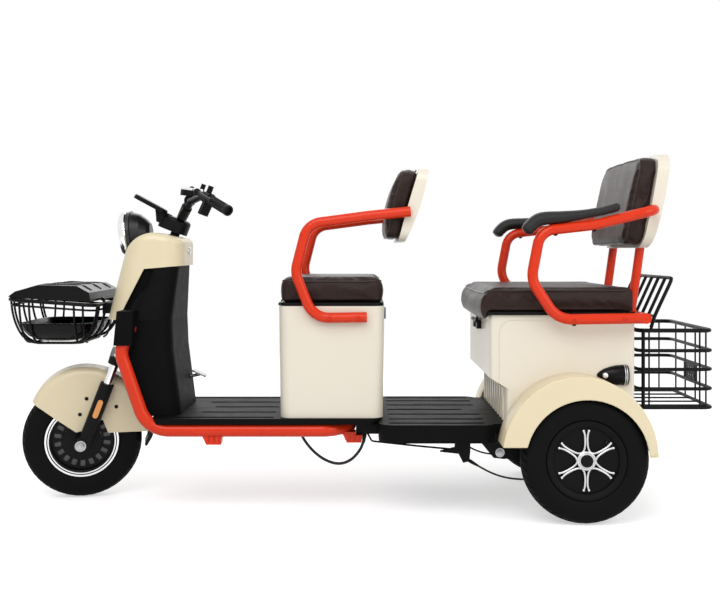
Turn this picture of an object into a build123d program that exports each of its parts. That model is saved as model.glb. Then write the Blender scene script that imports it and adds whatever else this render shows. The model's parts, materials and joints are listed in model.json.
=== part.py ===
"""Electric fat-tyre tricycle with a rider's seat, a rear bench, two baskets and a step-through deck.

Millimetres. -X is forward, -Y is the rider's left, +Z is up. The origin is on the floor,
in the centre plane, under the middle of the length. The steering is parked a little to the left.
"""
from build123d import *
import math
import os

# Fits
SEAT = 0.3            # gap between pieces that rest on each other
RUN = 6.0             # least gap between pieces that move past each other
PIN_FIT = 0.3         # radial play of a pin in its bore

# Wheels
TYRE_RADIUS = 190.0
TYRE_WIDTH = 84.0
BEAD_RADIUS = 104.0
FLANGE_RADIUS = 117.0
FLANGE_THICK = 6.0
BEAD_WIDTH = 62.0
RIM_WALL = 5.0
FRONT_AXLE_X = -910.0
REAR_AXLE_X = 668.0
AXLE_DIA = 12.0
HALF_SHAFT_DIA = 30.0
HUB_RADIUS = 50.0
HUB_HALF = 40.0
RIM_WINDOWS = 18
STAR_SPOKES = 6
CAP_RADIUS = 17.0

# Steering axis: leans back by RAKE and meets the floor at STEER_FOOT_X
RAKE = 21.0
STEER_FOOT_X = -938.0
STEER_PARKED = 12.0
STEM_DIA = 30.0
HEAD_TUBE_DIA = 56.0
HEAD_TUBE_LOW = 497.0
HEAD_TUBE_HIGH = 780.0
FORK_OFFSET = 33.0
FORK_HALF = 78.0
FORK_LEG_DIA = 44.0
STANCHION_DIA = 28.0
FORK_LEG_TOP = 400.0
FORK_CLAMP_LOW = 466.0
FORK_CLAMP_THICK = 24.0
FENDER_WALL = 4.0

# Cowl round the head tube, as (x, z) places in the centre plane
COWL_FRONT_LOW = (-808.0, 587.0)
COWL_CROWN = (-731.0, 887.0)
COWL_REAR_TOP = (-561.0, 844.6)
COWL_SIDE_FRONT = (-682.0, 749.0)
COWL_SIDE_REAR = (-541.0, 761.0)
COWL_STRIP_FOOT = (-765.0, 587.0)
COWL_HALF = 132.0
COWL_CORNER = 70.0
COWL_SHOULDER = 105.0
COWL_REAR_CORNER = 24.0
COWL_EDGE = 26.0
COWL_WALL = 4.0

# Red frame
RAIL_DIA = 40.0
RAIL_HALF = 215.0
RAIL_Z = 253.0
RAIL_CORNER_X = -653.0
RAIL_KNEE = (-736.0, 492.0)
RAIL_TOP = (-714.0, 560.0)
RAIL_END_X = -30.0
RAIL_END_HALF = 150.0
STEP_BRACKETS = ((-486.0, 0.0), (-54.0, 34.0))
BRACKET_LENGTH = 66.0
BRACKET_DROP = 23.0

# Decks
DECK_THICK = 18.0
DECK_HALF = 235.0
DECK_FRONT_X = -640.0
DECK_REAR_X = 60.0
REAR_DECK_TOP = 283.0
REAR_DECK_HALF = 300.0
REAR_DECK_END_X = 415.0
REAR_DECK_SKIRT = 55.0
REAR_DECK_THICK = 9.7
DECK_GROOVE = 20.0
PANEL_WALL = 5.0

# Leg shield
SHIELD_TOP_Z = 775.0
SHIELD_KNEE_Z = 590.0
SHIELD_WIDE_Z = 492.0
SHIELD_HALF = 188.0
SHIELD_CORNER = 55.0
SHROUD_DROP = 44.0
SHROUD_RISE = 61.0
SHROUD_OUT = 26.0

# Front seat
SEAT_BOX_HALF = 222.0
SEAT_BOX_FRONT_X = -249.0
SEAT_BOX_REAR_X = 79.0
SEAT_BOX_TOP_Z = 636.0
SEAT_BOX_TAPER = 10.0
SEAT_BOX_CORNER = 35.0
PAN_THICK = 10.0
CUSHION_THICK = 76.0
CUSHION_INSET = 8.0
ARM_DIA = 32.0

# Rear body and bench
BODY_FRONT_X = 396.0
BODY_REAR_X = 835.0
BODY_HALF = 276.0
BODY_TOP_Z = 612.0
TYRE_GAP = 16.0
RECESS_TOP_Z = 422.0
RECESS_DEPTH = 50.0
RECESS_RIBS = 9
RECESS_RIB_SPAN = 440.0
BENCH_OVERHANG = 18.0
BENCH_NOSE_X = 362.0
BENCH_NOSE_Z = 592.0
REAR_ARM_GAP = 15.0
BACK_HALF = 242.0
BACK_LOW_Z = 816.0
BACK_LEG_HALF = 165.0
BACK_LEG_DIA = 28.0

# Rear fenders
FENDER_GAP = 8.0
FENDER_ARCH_R = 181.0

# Baskets
FRONT_BASKET_HALF = 188.0
FRONT_BASKET_NOSE_X = -1102.0
FRONT_BASKET_TAIL_X = -824.0
REAR_BASKET_HALF = 214.0
REAR_BASKET_END_X = 1096.0
REAR_BASKET_START_X = 858.0
REAR_BASKET_FLOOR_Z = 322.0
REAR_BASKET_RIM_Z = 560.0
WIRE = 7.0
POST = 5.6
RIM_WIRE = 11.0

AXLE_Z = TYRE_RADIUS
FRONT_CUSHION_HALF = SEAT_BOX_HALF - CUSHION_INSET
FRONT_BACK_HALF = SEAT_BOX_HALF
REAR_TRACK = 2 * (BODY_HALF + TYRE_GAP) + TYRE_WIDTH
FENDER_OUTER_Y = (REAR_TRACK + TYRE_WIDTH) / 2 + FENDER_GAP + FENDER_WALL
BENCH_HALF = BODY_HALF + BENCH_OVERHANG
REAR_ARM_HALF = BENCH_HALF + REAR_ARM_GAP + ARM_DIA / 2
RAKE_SIN = math.sin(math.radians(RAKE))
RAKE_COS = math.cos(math.radians(RAKE))
RAIL_TOP_Z = RAIL_Z + RAIL_DIA / 2
DECK_TOP = RAIL_TOP_Z + SEAT + DECK_THICK
SHIELD_LEVELS = ((DECK_TOP + SEAT, -706.0, -560.0, SHIELD_HALF - 3),
                 (SHIELD_WIDE_Z, -770.0, -586.0, SHIELD_HALF),
                 (SHIELD_KNEE_Z, -742.0, -590.0, SHIELD_HALF),
                 (SHIELD_TOP_Z, -662.0, -574.0, COWL_HALF - 8))
HEAD = Plane(origin=(STEER_FOOT_X, 0, 0), x_dir=(RAKE_COS, 0, -RAKE_SIN), z_dir=(RAKE_SIN, 0, RAKE_COS))
STEER_AXIS = Axis((STEER_FOOT_X, 0, 0), (RAKE_SIN, 0, RAKE_COS))
COWL_HIGH = (COWL_REAR_TOP[0] - STEER_FOOT_X) * RAKE_SIN + COWL_REAR_TOP[1] * RAKE_COS
WHEEL_ON_AXIS = ((FRONT_AXLE_X - STEER_FOOT_X) * RAKE_COS - AXLE_Z * RAKE_SIN,
                 (FRONT_AXLE_X - STEER_FOOT_X) * RAKE_SIN + AXLE_Z * RAKE_COS)


def block(x0, x1, y0, y1, z0, z1):
    """Box between two corners."""
    return Pos((x0 + x1) / 2, (y0 + y1) / 2, (z0 + z1) / 2) * Box(x1 - x0, y1 - y0, z1 - z0)


def upright(radius, low, height):
    """Cylinder about Z standing on a height."""
    return Pos(0, 0, low) * Cylinder(radius, height, align=(Align.CENTER, Align.CENTER, Align.MIN))


def rod(start, end, dia):
    """Straight round bar from start to end."""
    along = Vector(*end) - Vector(*start)
    bar = Cylinder(dia / 2, along.length, align=(Align.CENTER, Align.CENTER, Align.MIN))
    return Plane(origin=start, z_dir=along) * bar


def bent_path(points, bend):
    """Straight runs through the points, joined by tangent arcs of the given radius."""
    spots = [Vector(*p) for p in points]
    bends = bend if isinstance(bend, (list, tuple)) else [bend] * (len(spots) - 2)
    edges = []
    last = spots[0]
    for before, corner, after, radius in zip(spots, spots[1:], spots[2:], bends):
        arrive = (corner - before).normalized()
        leave = (after - corner).normalized()
        turn = math.radians(arrive.get_angle(leave))
        reach = radius * math.tan(turn / 2)
        start = corner - arrive * reach
        end = corner + leave * reach
        inward = (leave - arrive).normalized()
        middle = corner + inward * (radius / math.cos(turn / 2) - radius)
        edges.append(Line(last, start))
        edges.append(ThreePointArc(start, middle, end))
        last = end
    edges.append(Line(last, spots[-1]))
    return Wire([e for line in edges for e in line.edges()])


def tube(points, dia, bend):
    """Round bar along a bent path."""
    path = bent_path(points, bend)
    section = Plane(origin=path @ 0, z_dir=path % 0) * Circle(dia / 2)
    return sweep(section, path=path)


def ring_tube(points, dia, bend):
    """Closed tube, symmetric about the centre plane, from the points of its left half."""
    half = tube(points, dia, bend)
    return half + mirror(half, about=Plane.XZ)


def mirrored(part):
    """The part and its mirror image across the centre plane."""
    return part + mirror(part, about=Plane.XZ)


def side_form(outline, y0, y1):
    """Extrudes an outline drawn in X and Z from y0 to y1."""
    face = Pos(0, y0, 0) * (Plane.XZ * outline)
    return extrude(face, amount=y1 - y0, dir=(0, 1, 0))


def polygon(points, radius=0.0):
    """Closed outline through the points, with its corners rounded."""
    if radius:
        return make_face(FilletPolyline(*points, radius=radius, close=True))
    return make_face(Polyline(*points, close=True))


def turned(points):
    """Solid of revolution about Y from (y, radius) points."""
    return revolve(Plane.YZ * polygon(points), axis=Axis.Y)


def steered(part):
    """Turns a piece of the steering from straight ahead to where it is parked."""
    return part.rotate(STEER_AXIS, STEER_PARKED)


# Wheels, drawn about the origin with the outside face at -Y

def tyre():
    half = TYRE_WIDTH / 2
    bore = BEAD_RADIUS + SEAT
    seat = BEAD_WIDTH / 2 - SEAT
    lip = FLANGE_RADIUS + SEAT
    shoulder = (half - 7, TYRE_RADIUS - 12)
    right = [
        Line((seat, bore), (seat, lip)),
        Line((seat, lip), (half - 5, lip + 4)),
        ThreePointArc((half - 5, lip + 4), (half, (lip + TYRE_RADIUS) / 2 - 2), shoulder),
    ]
    left = [mirror(edge, about=Plane.YZ) for edge in right]
    crown = ThreePointArc(shoulder, (0, TYRE_RADIUS), (-shoulder[0], shoulder[1]))
    base = Line((-seat, bore), (seat, bore))
    section = make_face([e for line in (*right, *left, crown, base) for e in line.edges()])
    return revolve(Plane.YZ * section, axis=Axis.Y)


def rim_barrel():
    half = BEAD_WIDTH / 2
    edge = half + FLANGE_THICK
    inner = BEAD_RADIUS - RIM_WALL
    return turned([(-edge, FLANGE_RADIUS), (-half, FLANGE_RADIUS), (-half, BEAD_RADIUS), (half, BEAD_RADIUS),
                   (half, FLANGE_RADIUS), (edge, FLANGE_RADIUS), (edge, FLANGE_RADIUS - 6), (half, inner),
                   (-half, inner), (-edge, FLANGE_RADIUS - 6)])


def disc(radius, y0, y1):
    """Round plate about Y."""
    return Pos(0, y0, 0) * (Rot(-90, 0, 0) * upright(radius, 0, y1 - y0))


def front_rim():
    """Rim with a drum hub and a web pierced by a ring of windows."""
    web = disc(BEAD_RADIUS - RIM_WALL + 1, -18, -8)
    hub = disc(HUB_RADIUS + 12, -26, 26) + disc(26, -HUB_HALF, HUB_HALF)
    body = rim_barrel() + web + hub
    window = Pos(0, -13, 79) * Box(16, 30, 22)
    for index in range(RIM_WINDOWS):
        body -= window.rotate(Axis.Y, index * 360 / RIM_WINDOWS)
    return body - disc(AXLE_DIA / 2 + PIN_FIT, -HUB_HALF - 1, HUB_HALF + 1)


def front_rim_rings():
    """Bright trim rings pressed on both flanges."""
    edge = BEAD_WIDTH / 2 + FLANGE_THICK + SEAT
    ring = disc(FLANGE_RADIUS, -edge - 3, -edge) - disc(FLANGE_RADIUS - 13, -edge - 4, -edge + 1)
    return ring + mirror(ring, about=Plane.XZ)


def rear_rim():
    """Dished rear rim, its web near the outside face."""
    web = disc(BEAD_RADIUS - RIM_WALL + 1, -24, -12)
    hub = disc(HUB_RADIUS, -24, HUB_HALF) + disc(CAP_RADIUS, -42, -20)
    body = rim_barrel() + web + hub
    return body - disc(HALF_SHAFT_DIA / 2 + PIN_FIT, -10, HUB_HALF + 1)


def rear_star():
    """Six-spoke trim; each spoke is slotted, waisted and spread at its foot."""
    y1 = -24 - SEAT
    y0 = y1 - 10
    star = disc(28, y0, y1)
    spoke = polygon([(-12, 20), (-8.5, 52), (-10.5, 70), (-21, 86), (-17, 91), (17, 91), (21, 86), (10.5, 70),
                     (8.5, 52), (12, 20)])
    spoke -= Pos(0, 56) * SlotOverall(46, 6.5, rotation=90)
    for index in range(STAR_SPOKES):
        star += side_form(spoke, y0, y1).rotate(Axis.Y, index * 360 / STAR_SPOKES)
    return star - disc(CAP_RADIUS + SEAT, y0 - 1, y1 + 1)


def at_front_axle(part):
    return steered(Pos(FRONT_AXLE_X, 0, AXLE_Z) * part)


def at_rear_axle(part, side):
    """Places a left-hand wheel piece; side is -1 for left and 1 for right."""
    if side > 0:
        part = mirror(part, about=Plane.XZ)
    return Pos(REAR_AXLE_X, side * REAR_TRACK / 2, AXLE_Z) * part


# Steering

def steering_stem():
    """Lower clamp that grips both stanchions, with the stem through the head tube."""
    high = FORK_CLAMP_LOW + FORK_CLAMP_THICK
    grip = Circle(STANCHION_DIA / 2 + 9)
    outline = make_hull([*(Pos(-FORK_OFFSET, FORK_HALF) * grip).edges(),
                         *(Pos(-FORK_OFFSET, -FORK_HALF) * grip).edges(),
                         *Circle(STEM_DIA / 2 + 14).edges()])
    clamp = Pos(0, 0, FORK_CLAMP_LOW) * extrude(outline, FORK_CLAMP_THICK)
    stem = upright(STEM_DIA / 2, high, COWL_HIGH - high + RUN)
    body = clamp + stem
    for y in (-FORK_HALF, FORK_HALF):
        body -= Pos(-FORK_OFFSET, y, 0) * upright(STANCHION_DIA / 2 + SEAT, FORK_CLAMP_LOW - 1,
                                                  FORK_CLAMP_THICK + 2)
    return steered(HEAD * body)


def fork_stanchions():
    bottom = FORK_LEG_TOP - 60
    height = FORK_CLAMP_LOW + FORK_CLAMP_THICK + 6 - bottom
    bars = Part() + [
        Pos(-FORK_OFFSET, y, 0) * upright(STANCHION_DIA / 2, bottom, height)
        for y in (-FORK_HALF, FORK_HALF)]
    return steered(HEAD * bars)


def fork_legs():
    axle_x, axle_z = WHEEL_ON_AXIS
    legs = Part()
    for y in (-FORK_HALF, FORK_HALF):
        leg = Pos(-FORK_OFFSET, y, 0) * upright(FORK_LEG_DIA / 2, axle_z, FORK_LEG_TOP - axle_z)
        boss = Pos(axle_x, y, axle_z) * Rot(90, 0, 0) * Cylinder(FORK_LEG_DIA / 2 + 1, FORK_LEG_DIA + 2)
        bore = Pos(-FORK_OFFSET, y, 0) * upright(STANCHION_DIA / 2 + SEAT, FORK_LEG_TOP - 60 - SEAT, 100)
        eye = Pos(axle_x, y, axle_z) * Rot(90, 0, 0) * Cylinder(AXLE_DIA / 2 + SEAT, FORK_LEG_DIA + 10)
        legs += leg + boss - bore - eye
    return steered(HEAD * legs)


def front_axle():
    """Through axle with its nuts and the spacers beside the hub."""
    leg_in = FORK_HALF - (FORK_LEG_DIA + 2) / 2
    leg_out = FORK_HALF + (FORK_LEG_DIA + 2) / 2
    bar = disc(AXLE_DIA / 2, -leg_out - 16, leg_out + 16)
    spacer = disc(13, -leg_in + SEAT, -HUB_HALF - SEAT)
    nut = disc(11, -leg_out - 10, -leg_out - SEAT)
    return at_front_axle(bar + mirrored(spacer + nut))


def fender_outline():
    """Side outline of the front fender: two crown arcs, a straight tail and the swept lower edge."""
    tip = (-1063.0, 326.0)
    top = (-884.0, 432.0)
    tail = (-684.0, 219.0)
    crown = [ThreePointArc(tip, (-992.0, 408.0), top), ThreePointArc(top, (-752.0, 372.0), tail)]
    lower = Polyline(tail, (-826, 219), (-842, 262), (-878, 262), (-897, 230), (-927, 224), (-990, 270), tip)
    return make_face([e for line in (*crown, lower) for e in line.edges()])


def fender_hollow():
    """Inside of the front fender in side view: its crown a wall's thickness down, open below."""
    tip = (-1058.5, 326.0)
    top = (-884.0, 428.0)
    tail = (-688.5, 219.0)
    crown = [ThreePointArc(tip, (-990.0, 404.5), top), ThreePointArc(top, (-755.0, 369.0), tail)]
    lower = Polyline(tail, (-688.5, 150), (-1000, 150), (-1000, 250), tip)
    return make_face([e for line in (*crown, lower) for e in line.edges()])


def front_fender():
    """Hollow fender, open below, between the fork legs."""
    half = FORK_HALF - FORK_LEG_DIA / 2 - SEAT
    forms = []
    for outline, width, radius in ((fender_outline(), half, 26), (fender_hollow(), half - FENDER_WALL, 22)):
        form = side_form(outline, -width, width)
        rim = [e for e in form.edges().filter_by(GeomType.CIRCLE) if abs(abs(e.center().Y) - width) < 1]
        forms.append(fillet(rim, radius))
    return steered(forms[0] - forms[1])


def mud_flap():
    """Rubber flap under the fender's tail."""
    half = FORK_HALF - FORK_LEG_DIA / 2 - SEAT
    top = 219 - SEAT
    flap = polygon([(-702, top), (-679, top), (-686, 196), (-703, 168), (-710, 170), (-699, 196)])
    return steered(side_form(flap, -half + 8, half - 8))


def reflectors():
    """Amber reflector on the outside of each fork leg."""
    pad = Pos(-FORK_OFFSET, -FORK_HALF - FORK_LEG_DIA / 2 + 1, 318) * (
        Rot(90, 0, 0) * extrude(SlotOverall(62, 17, rotation=90), 5))
    core = Pos(-FORK_OFFSET, -FORK_HALF, 0) * upright(FORK_LEG_DIA / 2 + SEAT, 200, 250)
    return steered(HEAD * mirrored(pad - core))


BAR_ROOT = (0.0, 20.0, 955.0)
BAR_KNEE = (6.0, 122.0, 1044.0)
BAR_GRIP = (30.0, 250.0, 1076.0)
BAR_END = (104.0, 374.0, 1062.0)
BAR_DIA = 22.0
RISER_DIA = 30.0
COVER_RADIUS = 50.0
COVER_SHIFT = -12.0
COVER_HEIGHT = 46.0
COVER_LOW = COWL_HIGH + RUN


def on_head(x, y, z, side=1):
    """World point from a place beside the steering axis: x behind it, z along it."""
    return tuple(HEAD.from_local_coords(Vector(x, side * y, z)))


def handlebar():
    """One bent bar with a straight brace, clamped in the steering cover."""
    bar = Part()
    for side in (-1, 1):
        bar += tube([on_head(*p, side) for p in (BAR_ROOT, BAR_KNEE, BAR_GRIP, BAR_END)], BAR_DIA, [30, 60])
        root, knee = Vector(*BAR_ROOT), Vector(*BAR_KNEE)
        bar += rod(on_head(*root, side), on_head(*(root + (knee - root) * 0.72), side), RISER_DIA)
    root = COVER_LOW + COVER_HEIGHT
    knee_x, knee_y, knee_z = BAR_KNEE
    bar += rod(on_head(knee_x, -knee_y, knee_z), on_head(knee_x, knee_y, knee_z), BAR_DIA)
    keep = HEAD * (Pos(0, 0, root + SEAT) * Box(400, 900, 300, align=(Align.CENTER, Align.CENTER, Align.MIN)))
    return steered(bar & keep)


def steering_cover():
    """Round moulded cover on top of the stem, with a raised plate reaching forward."""
    top = COVER_LOW + COVER_HEIGHT
    body = Pos(COVER_SHIFT, 0, 0) * upright(COVER_RADIUS, COVER_LOW, COVER_HEIGHT)
    body = fillet(body.edges().group_by(Axis.Z)[-1], 12)
    bore = upright(STEM_DIA / 2 + SEAT, COVER_LOW - 1, 1 + RUN)
    plate = Box(118, 96, 14)
    plate = fillet(plate.edges().filter_by(Axis.Z), 28)
    plate = fillet(plate.edges().group_by(Axis.Z)[-1], 5)
    visor = Pos(-107, 0, top + 12) * (Rot(0, 8, 0) * plate)
    neck = polygon([(-92, top + 8), (-30, top + 2), (-30, top - 36), (-72, top - 34), (-80, top - 16)])
    return steered(HEAD * (body + side_form(neck, -26, 26) + visor - bore))


def grips():
    start = Vector(*BAR_GRIP)
    end = Vector(*BAR_END)
    along = (end - start).normalized()
    grip_length = 104.0
    parts = Part()
    for side in (-1, 1):
        a = on_head(*(end - along * (grip_length - 8)), side)
        b = on_head(*(end + along * 8), side)
        core = rod(on_head(*(start - along * 20), side), on_head(*end, side), BAR_DIA + 2 * SEAT)
        parts += rod(a, b, 34) - core
    return steered(parts)


SOCKET_DIA = 8.0
SOCKET_DEPTH = 16.0
SOCKET_RISE = 38.0


def brake_levers():
    """Lever and clamp ahead of each grip, with a threaded mirror socket on top."""
    start = Vector(*BAR_GRIP)
    along = (Vector(*BAR_END) - start).normalized()
    parts = Part()
    for side in (-1, 1):
        clamp_at = start + along * 22
        a = on_head(*(clamp_at - along * 7), side)
        b = on_head(*(clamp_at + along * 7), side)
        clamp = rod(a, b, 36)
        pivot = clamp_at + Vector(-34, -2, 6)
        tip = pivot + along * 112 + Vector(-14, 16, 2)
        arm = rod(on_head(*clamp_at, side), on_head(*pivot, side), 16)
        blade = rod(on_head(*pivot, side), on_head(*tip, side), 10)
        ball = Pos(*on_head(*tip, side)) * Sphere(8)
        knuckle = Pos(*on_head(*pivot, side)) * Sphere(11)
        bore = rod(on_head(*start, side), on_head(*BAR_END, side), BAR_DIA + 2 * SEAT)
        mouth = clamp_at + Vector(0, 0, SOCKET_RISE)
        boss = rod(on_head(*clamp_at, side), on_head(*mouth, side), SOCKET_DIA + 9)
        socket = rod(on_head(*(mouth - Vector(0, 0, SOCKET_DEPTH)), side), on_head(*mouth, side), SOCKET_DIA)
        parts += clamp + arm + knuckle + blade + ball + boss - bore - socket
    return steered(parts)


def dash():
    """Round dash on a clamp over the brace."""
    x, _, z = BAR_KNEE
    pod = Pos(x - 4, 0, z + 26) * (Rot(0, -14, 0) * Cylinder(36, 24))
    clamp = Pos(x, 0, z) * (Rot(90, 0, 0) * Cylinder(19, 40))
    post = Pos(x - 2, 0, z + 13) * Box(24, 30, 22)
    bore = Pos(x, 0, z) * (Rot(90, 0, 0) * Cylinder(BAR_DIA / 2 + SEAT, 80))
    return steered(HEAD * (clamp + post + pod - bore))


def switch_pod():
    """Switch block hung under the left grip's inner end."""
    start = Vector(*BAR_GRIP)
    along = (Vector(*BAR_END) - start).normalized()
    spot = start + along * 38
    bar = rod(on_head(*start, -1), on_head(*BAR_END, -1), BAR_DIA + 2 * SEAT)
    ring = rod(on_head(*(spot - along * 8), -1), on_head(*(spot + along * 8), -1), 38)
    way = Vector(*on_head(*BAR_END, -1)) - Vector(*on_head(*start, -1))
    across = way.cross(HEAD.z_dir)
    hang = Plane(origin=on_head(*spot, -1), x_dir=across, z_dir=way) * (Pos(0, 32, 0) * Box(30, 40, 14))
    return steered(ring + hang - bar)


# Main frame, cowl and decks

PIVOT = (432.0, 188.0)
BEAM_WIDTH = 36.0
BEAM_HEIGHT = 40.0
SUBFRAME_TOP = REAR_DECK_TOP - REAR_DECK_THICK - SEAT
PIVOT_PLATE_HALF = 236.0
FLOOR_CABLE = [(-190.0, -128.0, 256.0), (-187.0, -128.0, 230.0), (-170.0, -128.0, 200.0),
               (-144.0, -128.0, 169.0), (-108.0, -128.0, 142.0), (-66.0, -128.0, 129.0),
               (-30.0, -128.0, 139.0), (-4.0, -128.0, 164.0), (13.0, -128.0, 193.0), (17.0, -128.0, 220.0)]
FLOOR_CABLE_DIA = 9.0
BRAKE_CABLE = [(354.0, -159.0, 143.0), (376.0, -160.0, 130.0), (410.0, -166.0, 112.0), (452.0, -178.0, 99.0),
               (500.0, -196.0, 96.5), (548.0, -216.0, 103.0), (590.0, -236.0, 119.0), (618.0, -248.0, 140.0),
               (636.0, -252.0, 158.0)]
BRAKE_CABLE_DIA = 6.0
GLAND_DIA = 15.0


def cable(points, dia):
    """Round cable along straight runs joined by arcs as large as the runs allow."""
    runs = [Vector(*b) - Vector(*a) for a, b in zip(points, points[1:])]
    radii = []
    for before, after in zip(runs, runs[1:]):
        turn = math.radians(before.get_angle(after))
        radii.append(0.45 * min(before.length, after.length) / math.tan(turn / 2))
    print("cable of", dia, "mm, bends of", [round(radius) for radius in radii])
    path = FilletPolyline(*points, radius=radii)
    return sweep(Plane(origin=path @ 0, z_dir=path % 0) * Circle(dia / 2), path=path)


def brake_cable(side):
    """Cable from the hanging bracket to the axle, on the left or the right."""
    part = cable(BRAKE_CABLE, BRAKE_CABLE_DIA)
    return mirror(part, about=Plane.XZ) if side > 0 else part


def rail(side, extra=0.0):
    """One side rail, from beside the head tube down to the deck and back."""
    y = side * RAIL_HALF
    top_x, top_z = RAIL_TOP
    knee_x, knee_z = RAIL_KNEE
    points = [(-708.0, 0, 600.0), (top_x, y, top_z), (knee_x, y, knee_z), (RAIL_CORNER_X, y, RAIL_Z),
              (RAIL_END_X - 60, y, RAIL_Z), (RAIL_END_X, side * RAIL_END_HALF, RAIL_Z),
              (RAIL_END_X, 0, RAIL_Z)]
    return tube(points, RAIL_DIA + extra, [42, 70, 95, 60, 60])


def down_tube(extra=0.0):
    """Tube from the head down to the first cross tube."""
    top = HEAD.from_local_coords(Vector(10, 0, HEAD_TUBE_LOW + 108))
    return rod(top, (-600, 0, RAIL_Z), 48 + extra)


def step_bracket(x, inset):
    """Channel welded under the left rail, its outer face ribbed and its front edge slanted."""
    low = RAIL_Z - RAIL_DIA / 2 - BRACKET_DROP
    high = RAIL_Z - RAIL_DIA / 4
    y = -RAIL_HALF - RAIL_DIA / 4 + inset
    rear = x + BRACKET_LENGTH
    bracket = side_form(polygon([(x, high), (rear, high), (rear - 5, low), (x + 16, low)]), y, y + 44)
    for index in range(3):
        rib_x = x + 8 + BRACKET_LENGTH * (index + 1) / 4
        bracket -= block(rib_x - 4, rib_x + 4, y - 1, y + 4, low + 5, RAIL_Z)
    return bracket


def main_frame():
    """Red tube frame: two rails, head tube, down tube and cross tubes."""
    frame = rail(-1) + rail(1)
    length = HEAD_TUBE_HIGH - HEAD_TUBE_LOW
    head = HEAD * upright(HEAD_TUBE_DIA / 2, HEAD_TUBE_LOW, length)
    frame += head + down_tube()
    for x in (-600.0, -380.0, -120.0):
        frame += rod((x, -RAIL_HALF, RAIL_Z), (x, RAIL_HALF, RAIL_Z), RAIL_DIA - 8)
    for x, inset in STEP_BRACKETS:
        frame += mirrored(step_bracket(x, inset))
    frame -= block(RAIL_END_X + RAIL_DIA / 2, RAIL_END_X + 100, -RAIL_HALF - 30, RAIL_HALF + 30,
                   SUBFRAME_TOP - BEAM_HEIGHT - SEAT, SUBFRAME_TOP)
    bore = HEAD * upright(STEM_DIA / 2 + PIN_FIT, HEAD_TUBE_LOW - 5, length + 10)
    return frame - bore


def cowl_form(inset):
    """Head shell: sloped apron, round shoulder, falling top and upright rear, rounded in plan."""
    (x0, z0), (crown_x, crown_z), (x1, z1) = COWL_FRONT_LOW, COWL_CROWN, COWL_REAR_TOP
    lean = (crown_x - x0) / (crown_z - z0)
    drop = 30.0
    low = z0 - drop
    outline = polygon([(x0 - drop * lean, low), (crown_x, crown_z), (x1, z1), (x1, low)])
    outline = fillet(outline.vertices().sort_by_distance((crown_x, crown_z))[0], COWL_SHOULDER)
    outline = fillet(outline.vertices().sort_by_distance((x1, z1))[0], COWL_REAR_CORNER)
    if inset:
        outline = offset(outline, -inset, kind=Kind.INTERSECTION)
    faces = []
    for z in (low - 10, crown_z + 20):
        front = x0 + (z - z0) * lean - 2 + inset
        rear = x1 + 2 - inset
        faces.append(Pos((front + rear) / 2, 0, z) * RectangleRounded(
            rear - front, 2 * (COWL_HALF - inset), COWL_CORNER - inset))
    body = side_form(outline, -COWL_HALF - 10, COWL_HALF + 10) & loft(faces, ruled=True)
    top = body.faces().filter_by(GeomType.PLANE).sort_by(Axis.Z)[-1]
    shoulder = body.faces().filter_by(GeomType.CYLINDER).sort_by(Axis.X)[0]
    sides = [e for e in top.edges() + shoulder.edges() if abs(e.center().Y) > COWL_HALF / 2]
    return fillet(sides, COWL_EDGE - inset)


def cowl_side_z(x):
    """Height of the head shell's lower side edge."""
    (x0, z0), (x1, z1) = COWL_SIDE_FRONT, COWL_SIDE_REAR
    return z0 + (z1 - z0) * (x - x0) / (x1 - x0)


def cowl_open_side(gap):
    """Region behind the apron's strip and under the side edge, held back by a gap."""
    foot_x, foot_z = COWL_STRIP_FOOT
    x, z = COWL_SIDE_FRONT
    far = COWL_REAR_TOP[0] + 60
    return side_form(polygon([(foot_x + gap, foot_z - 60), (foot_x + gap, foot_z), (x + gap, z - gap),
                              (far, cowl_side_z(far) - gap), (far, foot_z - 60)]), -300, 300)


def front_cowl():
    """Thin head shell whose front runs down as an apron."""
    shell = cowl_form(0) - cowl_form(COWL_WALL) - block(-900, -500, -200, 200, 500, COWL_FRONT_LOW[1])
    hole = HEAD * upright(STEM_DIA / 2 + RUN, COWL_HIGH - 60, 100)
    return shell - cowl_open_side(0) - hole


def shield_form(inset):
    """Leg shield body: narrow under the cowl, wide at the rails."""
    faces = []
    for z, x0, x1, half in SHIELD_LEVELS:
        corner = SHIELD_CORNER * half / SHIELD_HALF
        size = RectangleRounded(x1 - x0 - 2 * inset, 2 * (half - inset), corner - inset)
        faces.append(Pos((x0 + x1) / 2, 0, z) * size)
    return loft(faces, ruled=True)


def shield_rear_x(z):
    """Place of the leg shield's rear wall at a height."""
    for (z0, _, x0, _), (z1, _, x1, _) in zip(SHIELD_LEVELS, SHIELD_LEVELS[1:]):
        if z0 <= z <= z1:
            return x0 + (x1 - x0) * (z - z0) / (z1 - z0)


def leg_shield():
    """Open-fronted black shield behind the steering, with a shroud over each rail's top."""
    body = shield_form(0)
    x, z = RAIL_TOP
    shroud = polygon([(x - 38, z - SHROUD_DROP), (x + 18, z - SHROUD_DROP), (x + 22, z + SHROUD_RISE),
                      (x - 28, z + SHROUD_RISE)])
    body += mirrored(side_form(shroud, -RAIL_HALF - SHROUD_OUT, -SHIELD_HALF + 24))
    body -= shield_form(PANEL_WALL)
    mouth = polygon([(-900, 250), (-640, 250), (-640, 500), (-700, 560), (-640, 790), (-900, 790)])
    front = side_form(mouth, -150, 150)
    top = side_form(polygon([(-900, cowl_side_z(-900) - SEAT), (-400, cowl_side_z(-400) - SEAT), (-400, 1200),
                             (-900, 1200)]), -300, 300)
    body = body - front - top - (cowl_form(-SEAT) - cowl_open_side(SEAT))
    body -= rail(-1, 2.0) + rail(1, 2.0)
    return Part() + [s for s in body.solids() if s.volume > 40000]


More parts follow.
